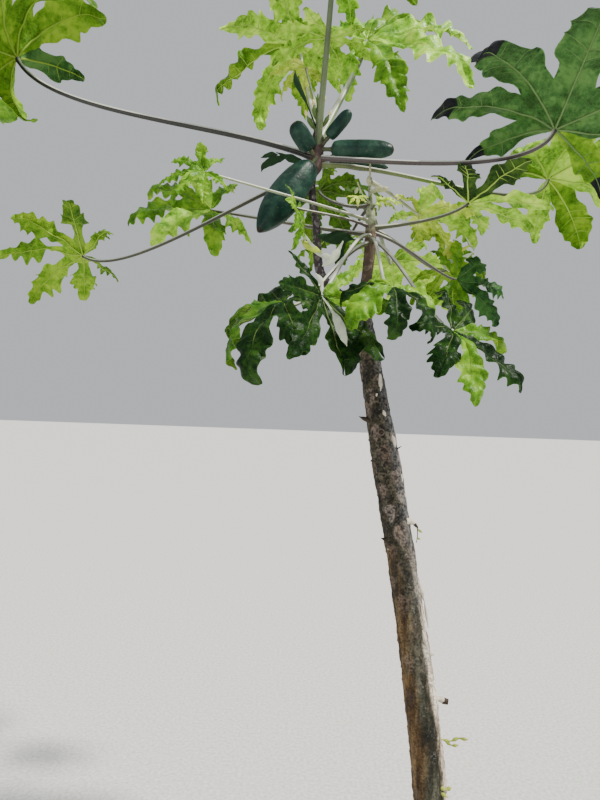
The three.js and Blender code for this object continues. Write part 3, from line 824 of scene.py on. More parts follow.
def ripple(rows, stations, lobe, leaf, rng):
    """Height of the quilting between side veins, of the wavy edge and of its downward roll."""
    share = np.linspace(0, 1, BLADE_COLUMNS + 1)[None, :]
    rib, out = rows[:, 0:1], rows[:, 2:3]
    k = np.clip(np.searchsorted(stations, rib[:, 0]), 1, len(stations) - 1)
    gap = (rib[:, 0] - stations[k - 1]) / (stations[k] - stations[k - 1])
    quilt = np.abs(np.sin(gap * math.pi))[:, None] ** 1.2 * np.sin(share * math.pi * 0.86)
    waves, phase = rng.uniform(*EDGE_WAVES), rng.uniform(0, 2 * math.pi)
    wave = np.sin(rib * waves * 2 * math.pi + phase) * share**2 * eased(rib, 0.25, 0.2)
    wave *= 1 - 0.75 * eased(rib, 0.55, 0.4)
    roll = -(share**2) * eased(rib, 0.35, 0.3) * (out / 0.2)
    tip = -(eased(rib, 0.72, 0.28) ** 2)
    relief = QUILTING * quilt + WAVING * leaf["wave"] * wave
    return lobe["length"] * (relief + ROLLING * leaf["curl"] * roll + ROLLING * leaf["curl"] * tip)


def weld(points, faces, step=1e-3):
    """Joins points that share a place. Gives the points, the faces with their old numbers, and the new number
    of each old point."""
    keys = np.round(points / step).astype(np.int64)
    _, first, to = np.unique(keys, axis=0, return_index=True, return_inverse=True)
    to = to.ravel()
    kept = []
    for number, face in enumerate(faces):
        corners = list(dict.fromkeys(int(to[i]) for i in face))
        if len(corners) > 2:
            kept.append((number, tuple(corners)))
    return points[first], kept, to


def point_normals(points, faces):
    """Normals of the points, from the faces round them."""
    normals = np.zeros_like(points)
    for size in (3, 4):
        group = np.array([face for face in faces if len(face) == size])
        if len(group):
            a, b, c = points[group[:, 0]], points[group[:, 1]], points[group[:, 2]]
            across = np.cross(b - a, c - a) if size == 3 else np.cross(c - a, points[group[:, 3]] - b)
            for k in range(size):
                np.add.at(normals, group[:, k], across)
    return normals / np.maximum(np.linalg.norm(normals, axis=1), 1e-9)[:, None]


def folds(points, seed, depth, size):
    """Random rise and fall over a blade, growing outward from its middle and finer in a smaller one."""
    shift = Vector((seed * 3.7, seed * 1.3, 0))
    heights = np.array([
        sum(weight * noise.noise(Vector(p) / width + shift) for width, weight in FOLDS) for p in points / size
    ])
    return heights * depth * size * eased(np.linalg.norm(points, axis=1), 0, FOLD_REACH * size)


# Materials of a blade, by their number. The other upper and under side take a second green, which paints
# light and shade on chosen lobes.
UPPER, UNDER, VEIN, DRY, OTHER_UPPER, OTHER_UNDER = range(6)
LOWER_SIDE = {UPPER: UNDER, DRY: DRY, OTHER_UPPER: OTHER_UNDER}


class Blade:
    """Grids of a blade's half lobes, joined into one sheet, with the lines of its veins."""

    def __init__(self):
        self.points, self.heights, self.faces, self.looks = [], [], [], []
        self.free, self.veins, self.count = [], [], 0

    def add_half(self, side, places, heights, free_from, dry_from, look):
        """Adds one half lobe and gives the numbers of its points by row and column."""
        rows, columns = places.shape[:2]
        numbers = np.arange(rows * columns).reshape(rows, columns) + self.count
        a, b, c, d = numbers[:-1, :-1], numbers[1:, :-1], numbers[1:, 1:], numbers[:-1, 1:]
        corners = (a, b, c, d) if side > 0 else (d, c, b, a)
        self.faces += list(zip(*(part.ravel().tolist() for part in corners)))
        for row in range(rows - 1):
            self.looks += [DRY if row >= dry_from else look] * (columns - 1)
        self.free += numbers[free_from:, -1].tolist()
        self.points.append(places.reshape(-1, 3))
        self.heights.append(heights.ravel())
        self.count += rows * columns
        return numbers

    def add_vein(self, numbers, radius):
        self.veins.append((numbers, radius))


def blade_sheet(leaf, seed, lobes_each_side):
    """All the half lobes of a leaf, and the lines of its veins."""
    rng = random.Random(seed)
    full = len(LOBE_ANGLES) - 1
    lobes = [lobe_of(leaf, seed, index) for index in range(-lobes_each_side, lobes_each_side + 1)]
    sheet = Blade()
    for order, lobe in enumerate(lobes):
        small = lobe["rank"] == full or lobes_each_side < full
        profile = SMALL_LOBE_EDGE if small else leaf["edge"]
        stations = np.array([0.0, *INNER_VEINS, *(row[0] for row in profile if row[4] > 0), 1.0])
        dry_share = DRY_FROM if rng.random() < leaf["dry"] else 2
        look = OTHER_UPPER if order - lobes_each_side in leaf["other"][1:] else UPPER
        for side in (-1, 1):
            beside = order + side
            neighbour = lobes[beside] if 0 <= beside < len(lobes) else None
            rows, places, free_from, key_rows = half_lobe(lobe, side, neighbour, profile, leaf, rng)
            heights = ripple(rows, stations, lobe, leaf, rng)
            heights[: free_from + 1, -1] = 0
            dry_from = int(np.searchsorted(rows[:, 0], dry_share))
            numbers = sheet.add_half(side, places, heights, free_from, dry_from, look)
            if side > 0:
                sheet.add_vein(numbers[:, 0], RIB_RADIUS)
            for row, key in zip(key_rows, profile):
                if key[4]:
                    sheet.add_vein(numbers[row], VEIN_RADIUS * key[4])
            for place in INNER_VEINS:
                nearest = int(np.argmin(np.abs(rows[:, 0] - place)))
                sheet.add_vein(numbers[nearest, :-1], VEIN_RADIUS * 0.5)
    return sheet


def blade_shape(leaf, seed, lobes_each_side):
    """The fine blade: an upper and a lower side that meet in the edge, with raised veins."""
    sheet = blade_sheet(leaf, seed, lobes_each_side)
    places, kept, to = weld(np.vstack(sheet.points), sheet.faces)
    faces = [corners for _, corners in kept]
    looks = [sheet.looks[number] for number, _ in kept]
    heights = np.zeros(len(places))
    heights[to] = np.concatenate(sheet.heights)
    size = leaf["reach"] / FULL_REACH
    heights += folds(places, seed, FOLD_DEPTH * leaf["fold"], size)
    places = places + point_normals(places, faces) * heights[:, None]
    normals = point_normals(places, faces)
    rim = np.zeros(len(places), bool)
    rim[to[sheet.free]] = True
    lower = np.arange(len(places))
    lower[~rim] = len(places) + np.arange((~rim).sum())
    upper_places = places + normals * np.where(rim, 0, BLADE_HALF_THICKNESS)[:, None]
    lower_places = (places - normals * BLADE_HALF_THICKNESS)[~rim]
    under = [tuple(int(lower[i]) for i in face[::-1]) for face in faces]
    looks += [LOWER_SIDE[look] for look in looks]
    turn, origin = blade_frame(leaf)
    shape = Shape()
    shape.add(np.vstack([upper_places, lower_places]) @ turn.T + origin, faces + under, looks)
    for numbers, radius in sheet.veins:
        line, rise = places[to[numbers]], normals[to[numbers]]
        keep = np.concatenate([[True], np.linalg.norm(np.diff(line, axis=0), axis=1) > SHORTEST_STEP])
        line, rise = line[keep], rise[keep]
        if len(line) > 2:
            radii = radius * math.sqrt(size) * np.linspace(1, VEIN_TIP, len(line)) ** VEIN_TAPER
            sunk = line - rise * (radii * VEIN_SUNK)[:, None]
            shape.tube(sunk @ turn.T + origin, radii, RIB_SIDES if radius == RIB_RADIUS else VEIN_SIDES, VEIN)
    return shape, rim


def mark_edge(piece, rim):
    """Keeps the blade's edge crisp between its upper and its lower side, and marks it for the painted
    highlight along the edge.
    """
    data = piece.data
    on_rim = np.append(rim, np.zeros(len(data.vertices) - len(rim), bool))
    mark(piece, "edge", on_rim)
    ends = np.zeros(len(data.edges) * 2, np.int32)
    data.edges.foreach_get("vertices", ends)
    layer = data.attributes.get("sharp_edge") or data.attributes.new("sharp_edge", "BOOLEAN", "EDGE")
    layer.data.foreach_set("value", on_rim[ends.reshape(-1, 2)].all(axis=1))


def blade_frame(leaf):
    """The directions of a blade's own axes and its middle point."""
    normal = direction(leaf["side"], 90 - leaf["lean"])
    out = direction(leaf["heading"])
    out = unit(out - out.dot(normal) * normal)
    return np.stack([out, np.cross(normal, out), normal], axis=1), np.array(leaf["tip"], float)


def stalk_path(leaf, stem):
    start = stem.at(stem.share_at_height(leaf["foot"]))
    tip = np.array(leaf["tip"], float)
    chord = tip - start
    length = np.linalg.norm(chord)
    upturn = leaf["upturn"]
    upright = direction(leaf["side"], 90 - leaf["lean"] * STALK_LEAN)
    end = unit(unit(chord) * (1 - upturn) + upright * upturn)
    heading = math.degrees(math.atan2(chord[1], chord[0]))
    first = start + direction(heading, leaf["rise"]) * length * STALK_PULL
    return bezier(start, first, tip - end * length * STALK_END_PULL, tip)


def stalk_piece(crown, leaf, stem, material):
    """A smooth tapering stalk with a swollen foot and a small swelling under the blade."""
    path = stalk_path(leaf, stem)
    size = math.sqrt(leaf["reach"] / FULL_REACH) * leaf["stout"]
    shares = np.linspace(0, 1, max(16, int(path.length / STALK_RING)))
    base, tip = STALK_BASE_RADIUS * size, STALK_TIP_RADIUS * size
    runs = shares * path.length
    foot_swelling = FOOT_SWELLING * np.exp(-((runs / FOOT_SWELLING_LENGTH) ** 2))
    tip_swelling = TIP_SWELLING * np.exp(-(((path.length - runs) / TIP_SWELLING_LENGTH) ** 2))
    radii = (base + (tip - base) * shares**STALK_TAPER) * (1 + foot_swelling + tip_swelling)
    shape = Shape()
    outward = shape.tube(path.at(shares), radii, STALK_SIDES)
    name = f"{crown}_stalk_{leaf['name']}"
    piece = shape.piece(f"fine_{name}", [material], "stalk", name)
    # How far each point faces up, where the stalk's painted highlight goes.
    mark(piece, "top", np.append(outward[..., 2].ravel(), [0, 0]))


def leaf_pieces(crown, leaf, seed, lobes_each_side, stem, looks):
    """The blade and the stalk of one leaf."""
    upper, under, vein, dry, stalk = looks[leaf["green"]]
    other_upper, other_under = looks[leaf["other"][0]][:2]
    shape, rim = blade_shape(leaf, seed, lobes_each_side)
    node = f"{crown}_blade_{leaf['name']}"
    slot = "leaf" if lobes_each_side == len(LOBE_ANGLES) - 1 else "young_leaf"
    blade = shape.piece(f"fine_{node}", [upper, under, vein, dry, other_upper, other_under], slot, node)
    mark_edge(blade, rim)
    if leaf["stalk"]:
        stalk = stalk_look(f"stalk_{leaf['name']}", leaf["stalk"], shade(leaf["stalk"], 0.6))
    stalk_piece(crown, leaf, stem, stalk)


# Fruit

TAPERED = [
    (0, 0.3), (0.02, 0.42), (0.07, 0.66), (0.2, 0.88), (0.38, 1), (0.58, 0.98), (0.77, 0.78), (0.92, 0.42),
    (0.985, 0.16), (1, 0.07),
]
BLUNT = [
    (0, 0.3), (0.015, 0.5), (0.04, 0.78), (0.14, 0.94), (0.4, 1), (0.7, 0.98), (0.86, 0.84), (0.97, 0.5),
    (0.992, 0.25), (1, 0.08),
]


def fruit_piece(name, stem, end, radius, profile, material):
    """A fruit on its short stalk, with five blunt ridges and the dark scar of its flower at the end."""
    start, end = np.array(stem, float), np.array(end, float)
    axis = unit(end - start)
    length = np.linalg.norm(end - start) - FRUIT_STALK_LENGTH
    outline = [(place, wide, 0) for place, wide in FRUIT_NECK]
    outline += [(share * length, wide * radius, 0) for share, wide in profile]
    rows = through(outline, FRUIT_RINGS).points
    turns, shares = even_turns(FRUIT_SIDES), rows[:, 0] / length
    ridged = eased(shares, 0, 0.12) * (1 - 0.6 * eased(shares, 0.85, 0.15))
    wave = np.cos(FRUIT_RIDGES * turns) + FRUIT_FINE_RIDGES * np.cos(2 * FRUIT_RIDGES * turns)
    reach = rows[:, 1:2] * (1 + FRUIT_RIDGE_SHARE * ridged[:, None] * wave[None, :])
    side = unit(np.cross(axis, (0.3, -0.9, 0.2)))
    up = np.cross(axis, side)
    centres = start + axis * (FRUIT_STALK_LENGTH + rows[:, 0:1])
    sideways, upward = (np.cos(turns) * reach)[..., None], (np.sin(turns) * reach)[..., None]
    shape = Shape()
    shape.limb(centres[:, None] + side * sideways + up * upward, (centres[:1], centres[-1:]))
    piece = shape.piece(f"fine_{name}", [material], "fruit", name)
    blossom = np.repeat(eased(shares, 0.955, 0.03), FRUIT_SIDES)
    neck = np.repeat(1 - eased(shares, -0.01, 0.05), FRUIT_SIDES)
    for key, values, ends in (("blossom", blossom, [0, 1]), ("neck", neck, [1, 0])):
        mark(piece, key, np.append(values, ends))


# The tree's numbers

# How a leaf is finished: the edge of its lobes, how deep its sinuses are cut, how many times the edge is
# rounded, how far it waves, its lobes roll down and the blade crumples, and the share of its lobes gone dry.
STYLE_KEYS = ("edge", "cut", "round", "wave", "curl", "fold", "dry")
STYLES = {
    "lacy": (LOBE_EDGE, 0.3, 2, 2.0, 1.2, 2.8, 0),
    "ruffled": (PETAL_EDGE, 0.15, 2, 2.2, 1.3, 3.0, 0),
    "petal": (PETAL_EDGE, 0.65, 3, 1.0, 1.1, 1.6, 0),
    "broad": (PETAL_EDGE, 0.0, 3, 1.2, 1.5, 2.0, 0),
    "curled": (PETAL_EDGE, 0.25, 2, 1.9, 2.4, 2.8, 0),
    "spoon": (PETAL_EDGE, 0.85, 2, 2.4, 2.2, 3.0, 0),
    "dry_tipped": (PETAL_EDGE, 0.1, 3, 0.7, 1.7, 1.3, 0.9),
}


def leaf(name, foot, tip, reach, heading, lean, side, droop, rise, upturn=STALK_UPTURN, green="mid",
         style="lacy", stout=1, stalk=None, other=(), webs=()):
    """The part's numbers for one leaf, the green that it takes and how it is finished. stalk is a colour of
    its stalk's own, other is a second green with the lobes that take it, which paints sunlit lobes on a
    shaded leaf and shaded lobes on a lit one, and webs holds the lobes that have grown together with the next
    one."""
    return {
        "name": name, "foot": foot, "tip": tip, "reach": reach, "heading": heading, "lean": lean,
        "side": side, "droop": droop, "rise": rise, "upturn": upturn, "stout": stout, "green": green,
        "stalk": stalk, "other": other or (green,), "webs": webs, **dict(zip(STYLE_KEYS, STYLES[style])),
    }


UPPER_LEAVES = [
    leaf("high_left", 2222, (-1239, -44, 2449), 355, 311, 64, 171, 78, 19, 1, "sunlit_green", "broad", 1.15,
         (0.03, 0.03, 0.028), ("deep", 3)),
    leaf("top_front", 2238, (-388, -140, 2765), 340, 80, 12, 90, 40, 72, green="bright", stout=1.35,
         stalk=(0.13, 0.17, 0.08), other=("sunlit_green", -1, 2)),
    leaf("top_left", 2284, (-479, 260, 2675), 350, 170, 12, 110, 55, 56, green="bright",
         other=("sunlit_green", -2, 0)),
    leaf("top_middle", 2304, (-399, 50, 2588), 210, 110, 14, 90, 30, 66, green="bright"),
    leaf("top_right", 2264, (-274, 171, 2651), 374, 17, 55, 260, 49, 60, 0.3, "bright", stout=1.45,
         stalk=(0.2, 0.28, 0.12), other=("sunlit_green", -2, 1)),
    leaf("right_dark", 2224, (173, -175, 2247), 387, 257, 27, 33, 35, -6, 0.85, "deep", "dry_tipped",
         stalk=(0.09, 0.07, 0.07), other=("sunlit_green", 3)),
    leaf("low_left", 2186, (-1084, 76, 1946), 250, 189, 30, 109, 8, -20, green="sunlit_green", style="spoon",
         stalk=(0.05, 0.055, 0.028), other=("mid", -3, 2)),
    leaf("back", 2248, (-356, 600, 2355), 300, 92, 10, 270, 45, 24, style="petal"),
    leaf("right_bright", 2204, (274, 120, 2230), 325, 312, 30, 75, 60, 9, 0.8, "bright", "broad",
         other=("sunlit_green", -3, 2)),
]
SIDE_LEAVES = [
    leaf("left_edge_on", 2054, (-686, -240, 2088), 125, 195, 56, 265, 12, 6, 0, "sunlit_green",
         stalk=(0.3, 0.34, 0.2)),
    leaf("right_long", 2034, (3, -21, 2107), 240, 339, 21, 39, 4, 6, 0.46, "bright", "petal",
         stalk=(0.08, 0.09, 0.04), other=("dark", -3, -2, -1)),
    leaf("right_low", 2022, (-23, -21, 1895), 168, 0, 68, 289, 12, -10, 0.2, "deep", "curled",
         other=("sunlit_green", -3, -2, 2, 3)),
    leaf("right_front", 2004, (-121, -405, 1708), 202, 327, 57, 299, 12, -20, 0.2, "dark", "curled",
         other=("sunlit_green", -1, 1)),
    leaf("front_left", 2010, (-403, -414, 1772), 203, 311, 75, 311, -13, -4, 0.2, "dark", "petal",
         other=("sunlit_green", 2, 3), webs=(0,)),
    leaf("mid_left", 2016, (-756, 319, 2165), 287, 206, 50, 283, 16, 12, 0, "sunlit_green", "ruffled",
         other=("bright", -2, 1, 3)),
    leaf("mid_dark", 2098, (-404, 170, 2190), 225, 60, 30, 95, 45, 2),
    leaf("left_low", 1992, (-486, -250, 1779), 250, 196, 38, 230, 60, -12, green="dark", style="curled",
         other=("mid", -1, 0)),
    leaf("front", 1994, (-260, -470, 1783), 155, 275, 30, 280, 60, 6, green="dark", style="curled",
         other=("sunlit_green", -3, -1, 2, 3)),
    leaf("right_young", 2162, (-107, 128, 2117), 205, 357, 23, 10, 19, -2, 0, "young", "ruffled",
         stalk=(0.4, 0.42, 0.25), other=("bright", -2, 0, 3), webs=(-1, 1)),
    leaf("back_right", 2072, (-128, 500, 2056), 290, 80, 42, 90, 60, 10, green="bright"),
    leaf("back_low", 2032, (-4, 190, 1967), 200, 20, 40, 55, 60, 0, green="sunlit_green"),
    leaf("back_left", 2088, (-329, 110, 2027), 175, 180, 24, 250, 55, 14, green="sunlit_green"),
    leaf("left_hang", 2036, (-467, -133, 2042), 114, 342, 83, 342, 18, 12, 0, "sunlit_green", "petal",
         other=("mid", -3, 3)),
]
UPPER_YOUNG = [leaf("young_a", 2320, (-456, 70, 2511), 125, 140, 20, 140, 30, 80, green="young")]
SIDE_YOUNG = [
    leaf("young_a", 2092, (-304, -62, 2101), 36, 265, 55, 265, 30, 40, green="young"),
    leaf("young_b", 2080, (-250, -48, 2094), 70, 352, 34, 275, 30, 40, green="young"),
]
# For each crown the row's leaves, the seed of the first one, and how many lobes they have on each side.
CROWNS = [
    ("upper", UPPER_LEAVES, 1, 3), ("side", SIDE_LEAVES, 21, 3),
    ("upper", UPPER_YOUNG, 41, 2), ("side", SIDE_YOUNG, 51, 2),
]
# Each fruit's foot on the stem, its far end, its radius and its outline.
FRUIT = [
    ("fruit_large", (-418, -14, 2220), (-566, -90, 1989), 46, TAPERED),
    ("fruit_front", (-421, -8, 2222), (-483, -62, 2293), 25, BLUNT),
    ("fruit_upright", (-404, -4, 2259), (-330, -30, 2345), 18, BLUNT),
    ("fruit_right", (-404, -5, 2247), (-207, -30, 2242), 25, BLUNT),
    ("fruit_right_back", (-407, 10, 2232), (-206, 95, 2240), 21, TAPERED),
]


def ring(middle, radius):
    """Points round an upright circle that faces the front."""
    turns = np.linspace(0, 2 * math.pi, 13)
    return [(middle[0] + radius * math.cos(t), middle[1], middle[2] + radius * math.sin(t)) for t in turns]


# Small parts that only the dressed tree has: a slot and a look, then for each part the points that it runs
# through and its radii along them.
SMALL_PARTS = {
    "trunk_stubs": ("bark", "wood", [
        ([(-242, -4, 1498), (-256, -2, 1503), (-275, -2, 1510)], (9, 6, 1)),
        ([(-226, 0, 1394), (-238, 0, 1386)], (7, 2)),
        ([(-178, -8, 1163), (-190, -6, 1171), (-202, -4, 1175)], (9, 6, 1.5)),
        ([(-112, -12, 1219), (-103, -14, 1209)], (5, 3)),
        ([(-174, -14, 1418), (-164, -14, 1427), (-156, -14, 1432)], (2.2, 2, 1)),
        ([(-104, -14, 1212), (-103, -14, 1188), (-105, -12, 1167)], (1.6, 1.2, 1)),
        ([(-14, 4, 727), (1, 2, 724)], (9, 8)),
        ([(-215, -30, 1470), (-217, -37, 1470)], (4, 3)),
    ]),
    # Pale scars of fallen leaves, with their colour lightened further as painted sunlight.
    "trunk_scars": ("bark", "sunlit_pale_wood", [
        ([(-136, -14, 1226), (-122, -10, 1225), (-108, -12, 1216)], (9, 8, 4)),
        ([(-50, -8, 729), (-30, 2, 732), (-12, 4, 728)], (8, 6, 9)),
        ([(-60, -8, 862), (-46, 0, 857), (-42, 0, 857)], (7, 6, 3)),
        ([(-96, -2, 1062), (-84, 0, 1030), (-76, 4, 1004)], (2, 8, 2)),
        ([(-88, -15, 1002), (-82, -15, 970), (-75, -13, 932)], (1.5, 3.5, 1.5)),
        ([(-76, -2, 1008), (-69, -2, 970), (-62, -2, 930)], (1.5, 4, 1.5)),
        ([(-82, -22, 930), (-76, -22, 908), (-68, -18, 884)], (2, 6, 2)),
        ([(-74, -31, 796), (-55, -24, 786), (-40, -8, 762), (-36, -4, 742)], (1.5, 4.5, 4, 1.5)),
        ([(-46, -26, 712), (-36, -14, 722), (-28, -4, 734)], (1.5, 4, 1.5)),
        ([(-224, -13, 1640), (-222, -16, 1612), (-220, -20, 1582)], (1.5, 6, 7, 2)),
        ([(-184, -14, 1464), (-178, -15, 1444), (-174, -14, 1424)], (1.5, 7, 6, 1.5)),
        ([(-155, -7, 1362), (-153, -9, 1343), (-151, -9, 1324)], (1, 5, 5, 1)),
        ([(-146, -8, 1308), (-142, -7, 1296), (-138, -2, 1284)], (1, 5, 1)),
        ([(-211, -21, 1530), (-207, -23, 1520), (-203, -23, 1514)], (2, 5, 2)),
        ([(-230, -23, 1575), (-231, -24, 1567)], (3, 2)),
        ([(-186, 8, 1158), (-180, -8, 1144)], (4, 3)),
    ]),
    "trunk_rings": ("bark", "ring_wood", [
        (ring((-215, -29, 1470), 8), (1.8, 1.8)),
        (ring((-203, -18, 1547), 7), (1.4, 1.4)),
    ]),
    "trunk_sprigs": ("stem", "sprig", [
        ([(-38, -26, 640), (-12, -4, 622), (11, -6, 620), (30, -6, 628), (56, -18, 631)],
         (2.5, 2.5, 5, 1.6, 4.5, 1.6, 5, 2, 4.5, 1)),
        ([(-4, -4, 618), (14, -6, 608), (31, -12, 613)], (2, 4.5, 1.6, 4.5, 1)),
        ([(-24, -30, 508), (-6, -30, 500), (14, -20, 500)], (3, 5.5, 2, 5.5, 1)),
        ([(-20, -32, 492), (-8, -34, 486), (4, -30, 478)], (2, 5, 2, 1)),
        ([(-103, -14, 1206), (-96, -14, 1200), (-90, -14, 1196)], (1, 3.5, 1)),
        ([(-104, -14, 1180), (-94, -14, 1178)], (1, 3, 1)),
    ]),
    "side_buds": ("stem", "cream_bud", [
        ([(-266, -6, 2150), (-272, -18, 2160), (-274, -22, 2172)], (2, 5, 7, 5, 1)),
        ([(-262, -6, 2134), (-246, -18, 2140), (-240, -21, 2152)], (2, 4, 6, 4, 1)),
        ([(-262, -6, 2130), (-236, -18, 2136), (-216, -20, 2142)], (1.6, 2, 6, 7, 2)),
        ([(-266, -6, 2104), (-288, -18, 2122), (-303, -20, 2154)], (1.8, 1.6, 1.6, 1.6)),
        ([(-302, -20, 2140), (-308, -20, 2122)], (2, 5, 5, 1.5)),
        ([(-266, 0, 2160), (-268, -6, 2210), (-262, -10, 2250)], (3.4, 2.8, 2.2, 1)),
    ]),
    "upper_buds": ("stem", "green_bud", [
        ([(-416, 0, 2300), (-424, -12, 2335), (-430, -20, 2362)], (3, 2.4, 2.6, 7, 8, 2)),
        ([(-416, 0, 2310), (-410, -18, 2345), (-404, -24, 2372)], (3, 2.2, 2.4, 6, 7, 2)),
        ([(-416, 0, 2290), (-436, -16, 2312), (-448, -24, 2330)], (3, 2.2, 6, 7, 2)),
        ([(-414, 0, 2320), (-418, -10, 2362), (-420, -16, 2396)], (3, 2, 2, 5, 6, 1.5)),
        ([(-412, 0, 2300), (-396, -18, 2318), (-388, -24, 2334)], (3, 2.2, 5, 6, 2)),
        ([(-266, -8, 2112), (-265, -24, 2117)], (2, 4, 4, 1)),
    ]),
    "dark_scraps": ("young_leaf", "dark_green", [
        ([(-428, -20, 2196), (-470, -40, 2200), (-501, -40, 2210), (-529, -40, 2221)], (2.5, 3, 9, 12, 5, 1)),
        ([(-500, -40, 2206), (-529, -42, 2199), (-560, -44, 2180), (-567, -44, 2164)], (2, 10, 12, 9, 1)),
        ([(-524, -36, 2216), (-550, -34, 2214), (-570, -34, 2206)], (2, 9, 6, 1)),
        ([(-416, 0, 2296), (-452, -30, 2365), (-481, -40, 2419), (-485, -40, 2446)], (2.5, 2, 2, 6, 9, 1)),
        ([(-482, -62, 2294), (-486, -66, 2279), (-484, -64, 2266)], (1, 4, 1)),
    ]),
    "side_scraps": ("young_leaf", "dark_green", [
        ([(-280, -6, 2000), (-301, -10, 1998), (-335, -20, 2002), (-373, -26, 1996), (-412, -30, 2002)],
         (2, 2, 15, 19, 12, 2)),
        ([(-330, -18, 2000), (-342, -20, 1960), (-349, -20, 1933), (-354, -20, 1911)], (3, 8, 12, 2)),
    ]),
    "sunlit_scraps": ("young_leaf", "sunlit", [
        ([(-403, -414, 1772), (-383, -448, 1740), (-368, -462, 1712), (-358, -470, 1685), (-349, -474, 1662)],
         (1.5, 2, 2, 3, 9, 11, 8, 1)),
        ([(-403, -414, 1774), (-402, -408, 1794), (-408, -404, 1812), (-416, -400, 1822)], (2, 3, 6, 1)),
        ([(-337, -24, 1990), (-356, -40, 1950), (-372, -44, 1927), (-393, -44, 1915)], (2, 5, 12, 9, 2)),
        ([(-358, -40, 1932), (-386, -44, 1942), (-411, -44, 1952), (-424, -44, 1957)], (2, 9, 6, 1)),
        ([(-456, -60, 2014), (-439, -60, 1988), (-419, -56, 1965), (-395, -44, 1950)], (1, 3, 4, 2)),
        ([(-62, 10, 1949), (-41, 0, 1933), (-14, -4, 1922), (20, -4, 1912)], (2, 9, 12, 6, 1)),
        ([(-62, 10, 1949), (-29, 6, 1952), (-2, 4, 1961), (30, 4, 1979)], (2, 6, 5, 6, 1)),
    ]),
    "yellow_scraps": ("young_leaf", "sunlit_yellow", [
        ([(-395, -46, 1953), (-416, -54, 1958), (-436, -56, 1968), (-452, -56, 1980)], (2, 9, 11, 2)),
        ([(-62, 10, 1949), (-35, 8, 1970), (-2, 8, 1985), (25, 8, 2002)], (2, 7, 9, 5, 1)),
        ([(-62, 10, 1949), (-46, 10, 1978), (-30, 12, 1996), (-22, 12, 2013)], (2, 7, 8, 1)),
    ]),
    "upper_flowers": ("stem", "petal", [
        ([(-430, -21, 2360), (-433, -24, 2376)], (3, 5, 4, 1)),
        ([(-404, -25, 2370), (-400, -28, 2386)], (3, 5, 4, 1)),
        ([(-448, -25, 2329), (-454, -30, 2342)], (3, 5, 4, 1)),
        ([(-388, -25, 2333), (-382, -29, 2345)], (2.5, 4.5, 3.5, 1)),
    ]),
}
# Colours of the small parts and of the leaves, linear.
SMALL_LOOKS = {
    "wood": (0.05, 0.036, 0.024), "sunlit_pale_wood": (0.68, 0.61, 0.5), "sprig": (0.36, 0.42, 0.07),
    "cream_bud": (0.5, 0.5, 0.3), "green_bud": (0.12, 0.2, 0.06), "dark_green": (0.014, 0.045, 0.014),
    "petal": (0.75, 0.66, 0.3), "ring_wood": (0.15, 0.115, 0.09), "sunlit": (0.62, 0.68, 0.52),
    "sunlit_yellow": (0.5, 0.62, 0.08),
}
# Of each green how glossy its upper side is, then its colours: the deep, usual and yellowish green of each
# side, the veins and the stalk. The greens are the leaves' own colours with light and shade painted in:
# bright and the one after it paint sunlight falling on and shining through the leaves, and deep and dark
# paint shade.
# Young is the young leaves' own pale green.
GREENS = {
    "bright": {
        "gloss": 0.14,
        "upper": ((0.07, 0.21, 0.01), (0.23, 0.52, 0.028), (0.5, 0.76, 0.09)),
        "under": ((0.085, 0.23, 0.014), (0.28, 0.56, 0.034), (0.56, 0.82, 0.11)),
        "vein": (0.42, 0.62, 0.1), "stalk": (0.16, 0.22, 0.07),
    },
    "sunlit_green": {
        "gloss": 0.12,
        "upper": ((0.035, 0.11, 0.004), (0.08, 0.22, 0.008), (0.2, 0.38, 0.02)),
        "under": ((0.045, 0.13, 0.005), (0.11, 0.26, 0.009), (0.26, 0.43, 0.025)),
        "vein": (0.27, 0.42, 0.05), "stalk": (0.085, 0.1, 0.045),
    },
    "mid": {
        "gloss": 0.1,
        "upper": ((0.014, 0.055, 0.004), (0.035, 0.115, 0.007), (0.1, 0.22, 0.018)),
        "under": ((0.025, 0.075, 0.005), (0.06, 0.155, 0.009), (0.16, 0.29, 0.025)),
        "vein": (0.12, 0.2, 0.04), "stalk": (0.075, 0.08, 0.045),
    },
    "deep": {
        "gloss": 0.07,
        "upper": ((0.007, 0.03, 0.007), (0.015, 0.06, 0.014), (0.05, 0.14, 0.03)),
        "under": ((0.02, 0.062, 0.013), (0.042, 0.125, 0.028), (0.1, 0.22, 0.055)),
        "vein": (0.14, 0.24, 0.08), "stalk": (0.09, 0.09, 0.06),
    },
    "dark": {
        "gloss": 0.06,
        "upper": ((0.003, 0.012, 0.003), (0.006, 0.024, 0.005), (0.025, 0.07, 0.008)),
        "under": ((0.007, 0.022, 0.004), (0.014, 0.042, 0.007), (0.05, 0.11, 0.013)),
        "vein": (0.11, 0.16, 0.035), "stalk": (0.085, 0.11, 0.03),
    },
    "young": {
        "gloss": 0.12,
        "upper": ((0.12, 0.24, 0.01), (0.34, 0.52, 0.03), (0.66, 0.78, 0.12)),
        "under": ((0.14, 0.27, 0.014), (0.38, 0.56, 0.035), (0.7, 0.82, 0.14)),
        "vein": (0.45, 0.56, 0.12), "stalk": (0.19, 0.24, 0.08),
    },
}
STALK_TINGE = (0.055, 0.038, 0.036)
# The pale colour of the highlight painted along the top of each stalk.
STALK_PAINTED_HIGHLIGHT = (0.66, 0.67, 0.58)
DRY_TIP = (0.008, 0.01, 0.014)
# Of each stem: its dark and pale bark, the colour of its crown, and the height in metres where that starts.
STEM_COLOURS = {
    "side_stem": ((0.06, 0.042, 0.028), (0.26, 0.21, 0.15), (0.36, 0.4, 0.26), 2.05),
    "upper_stem": ((0.035, 0.028, 0.03), (0.36, 0.33, 0.32), (0.11, 0.075, 0.065), 2.17),
}

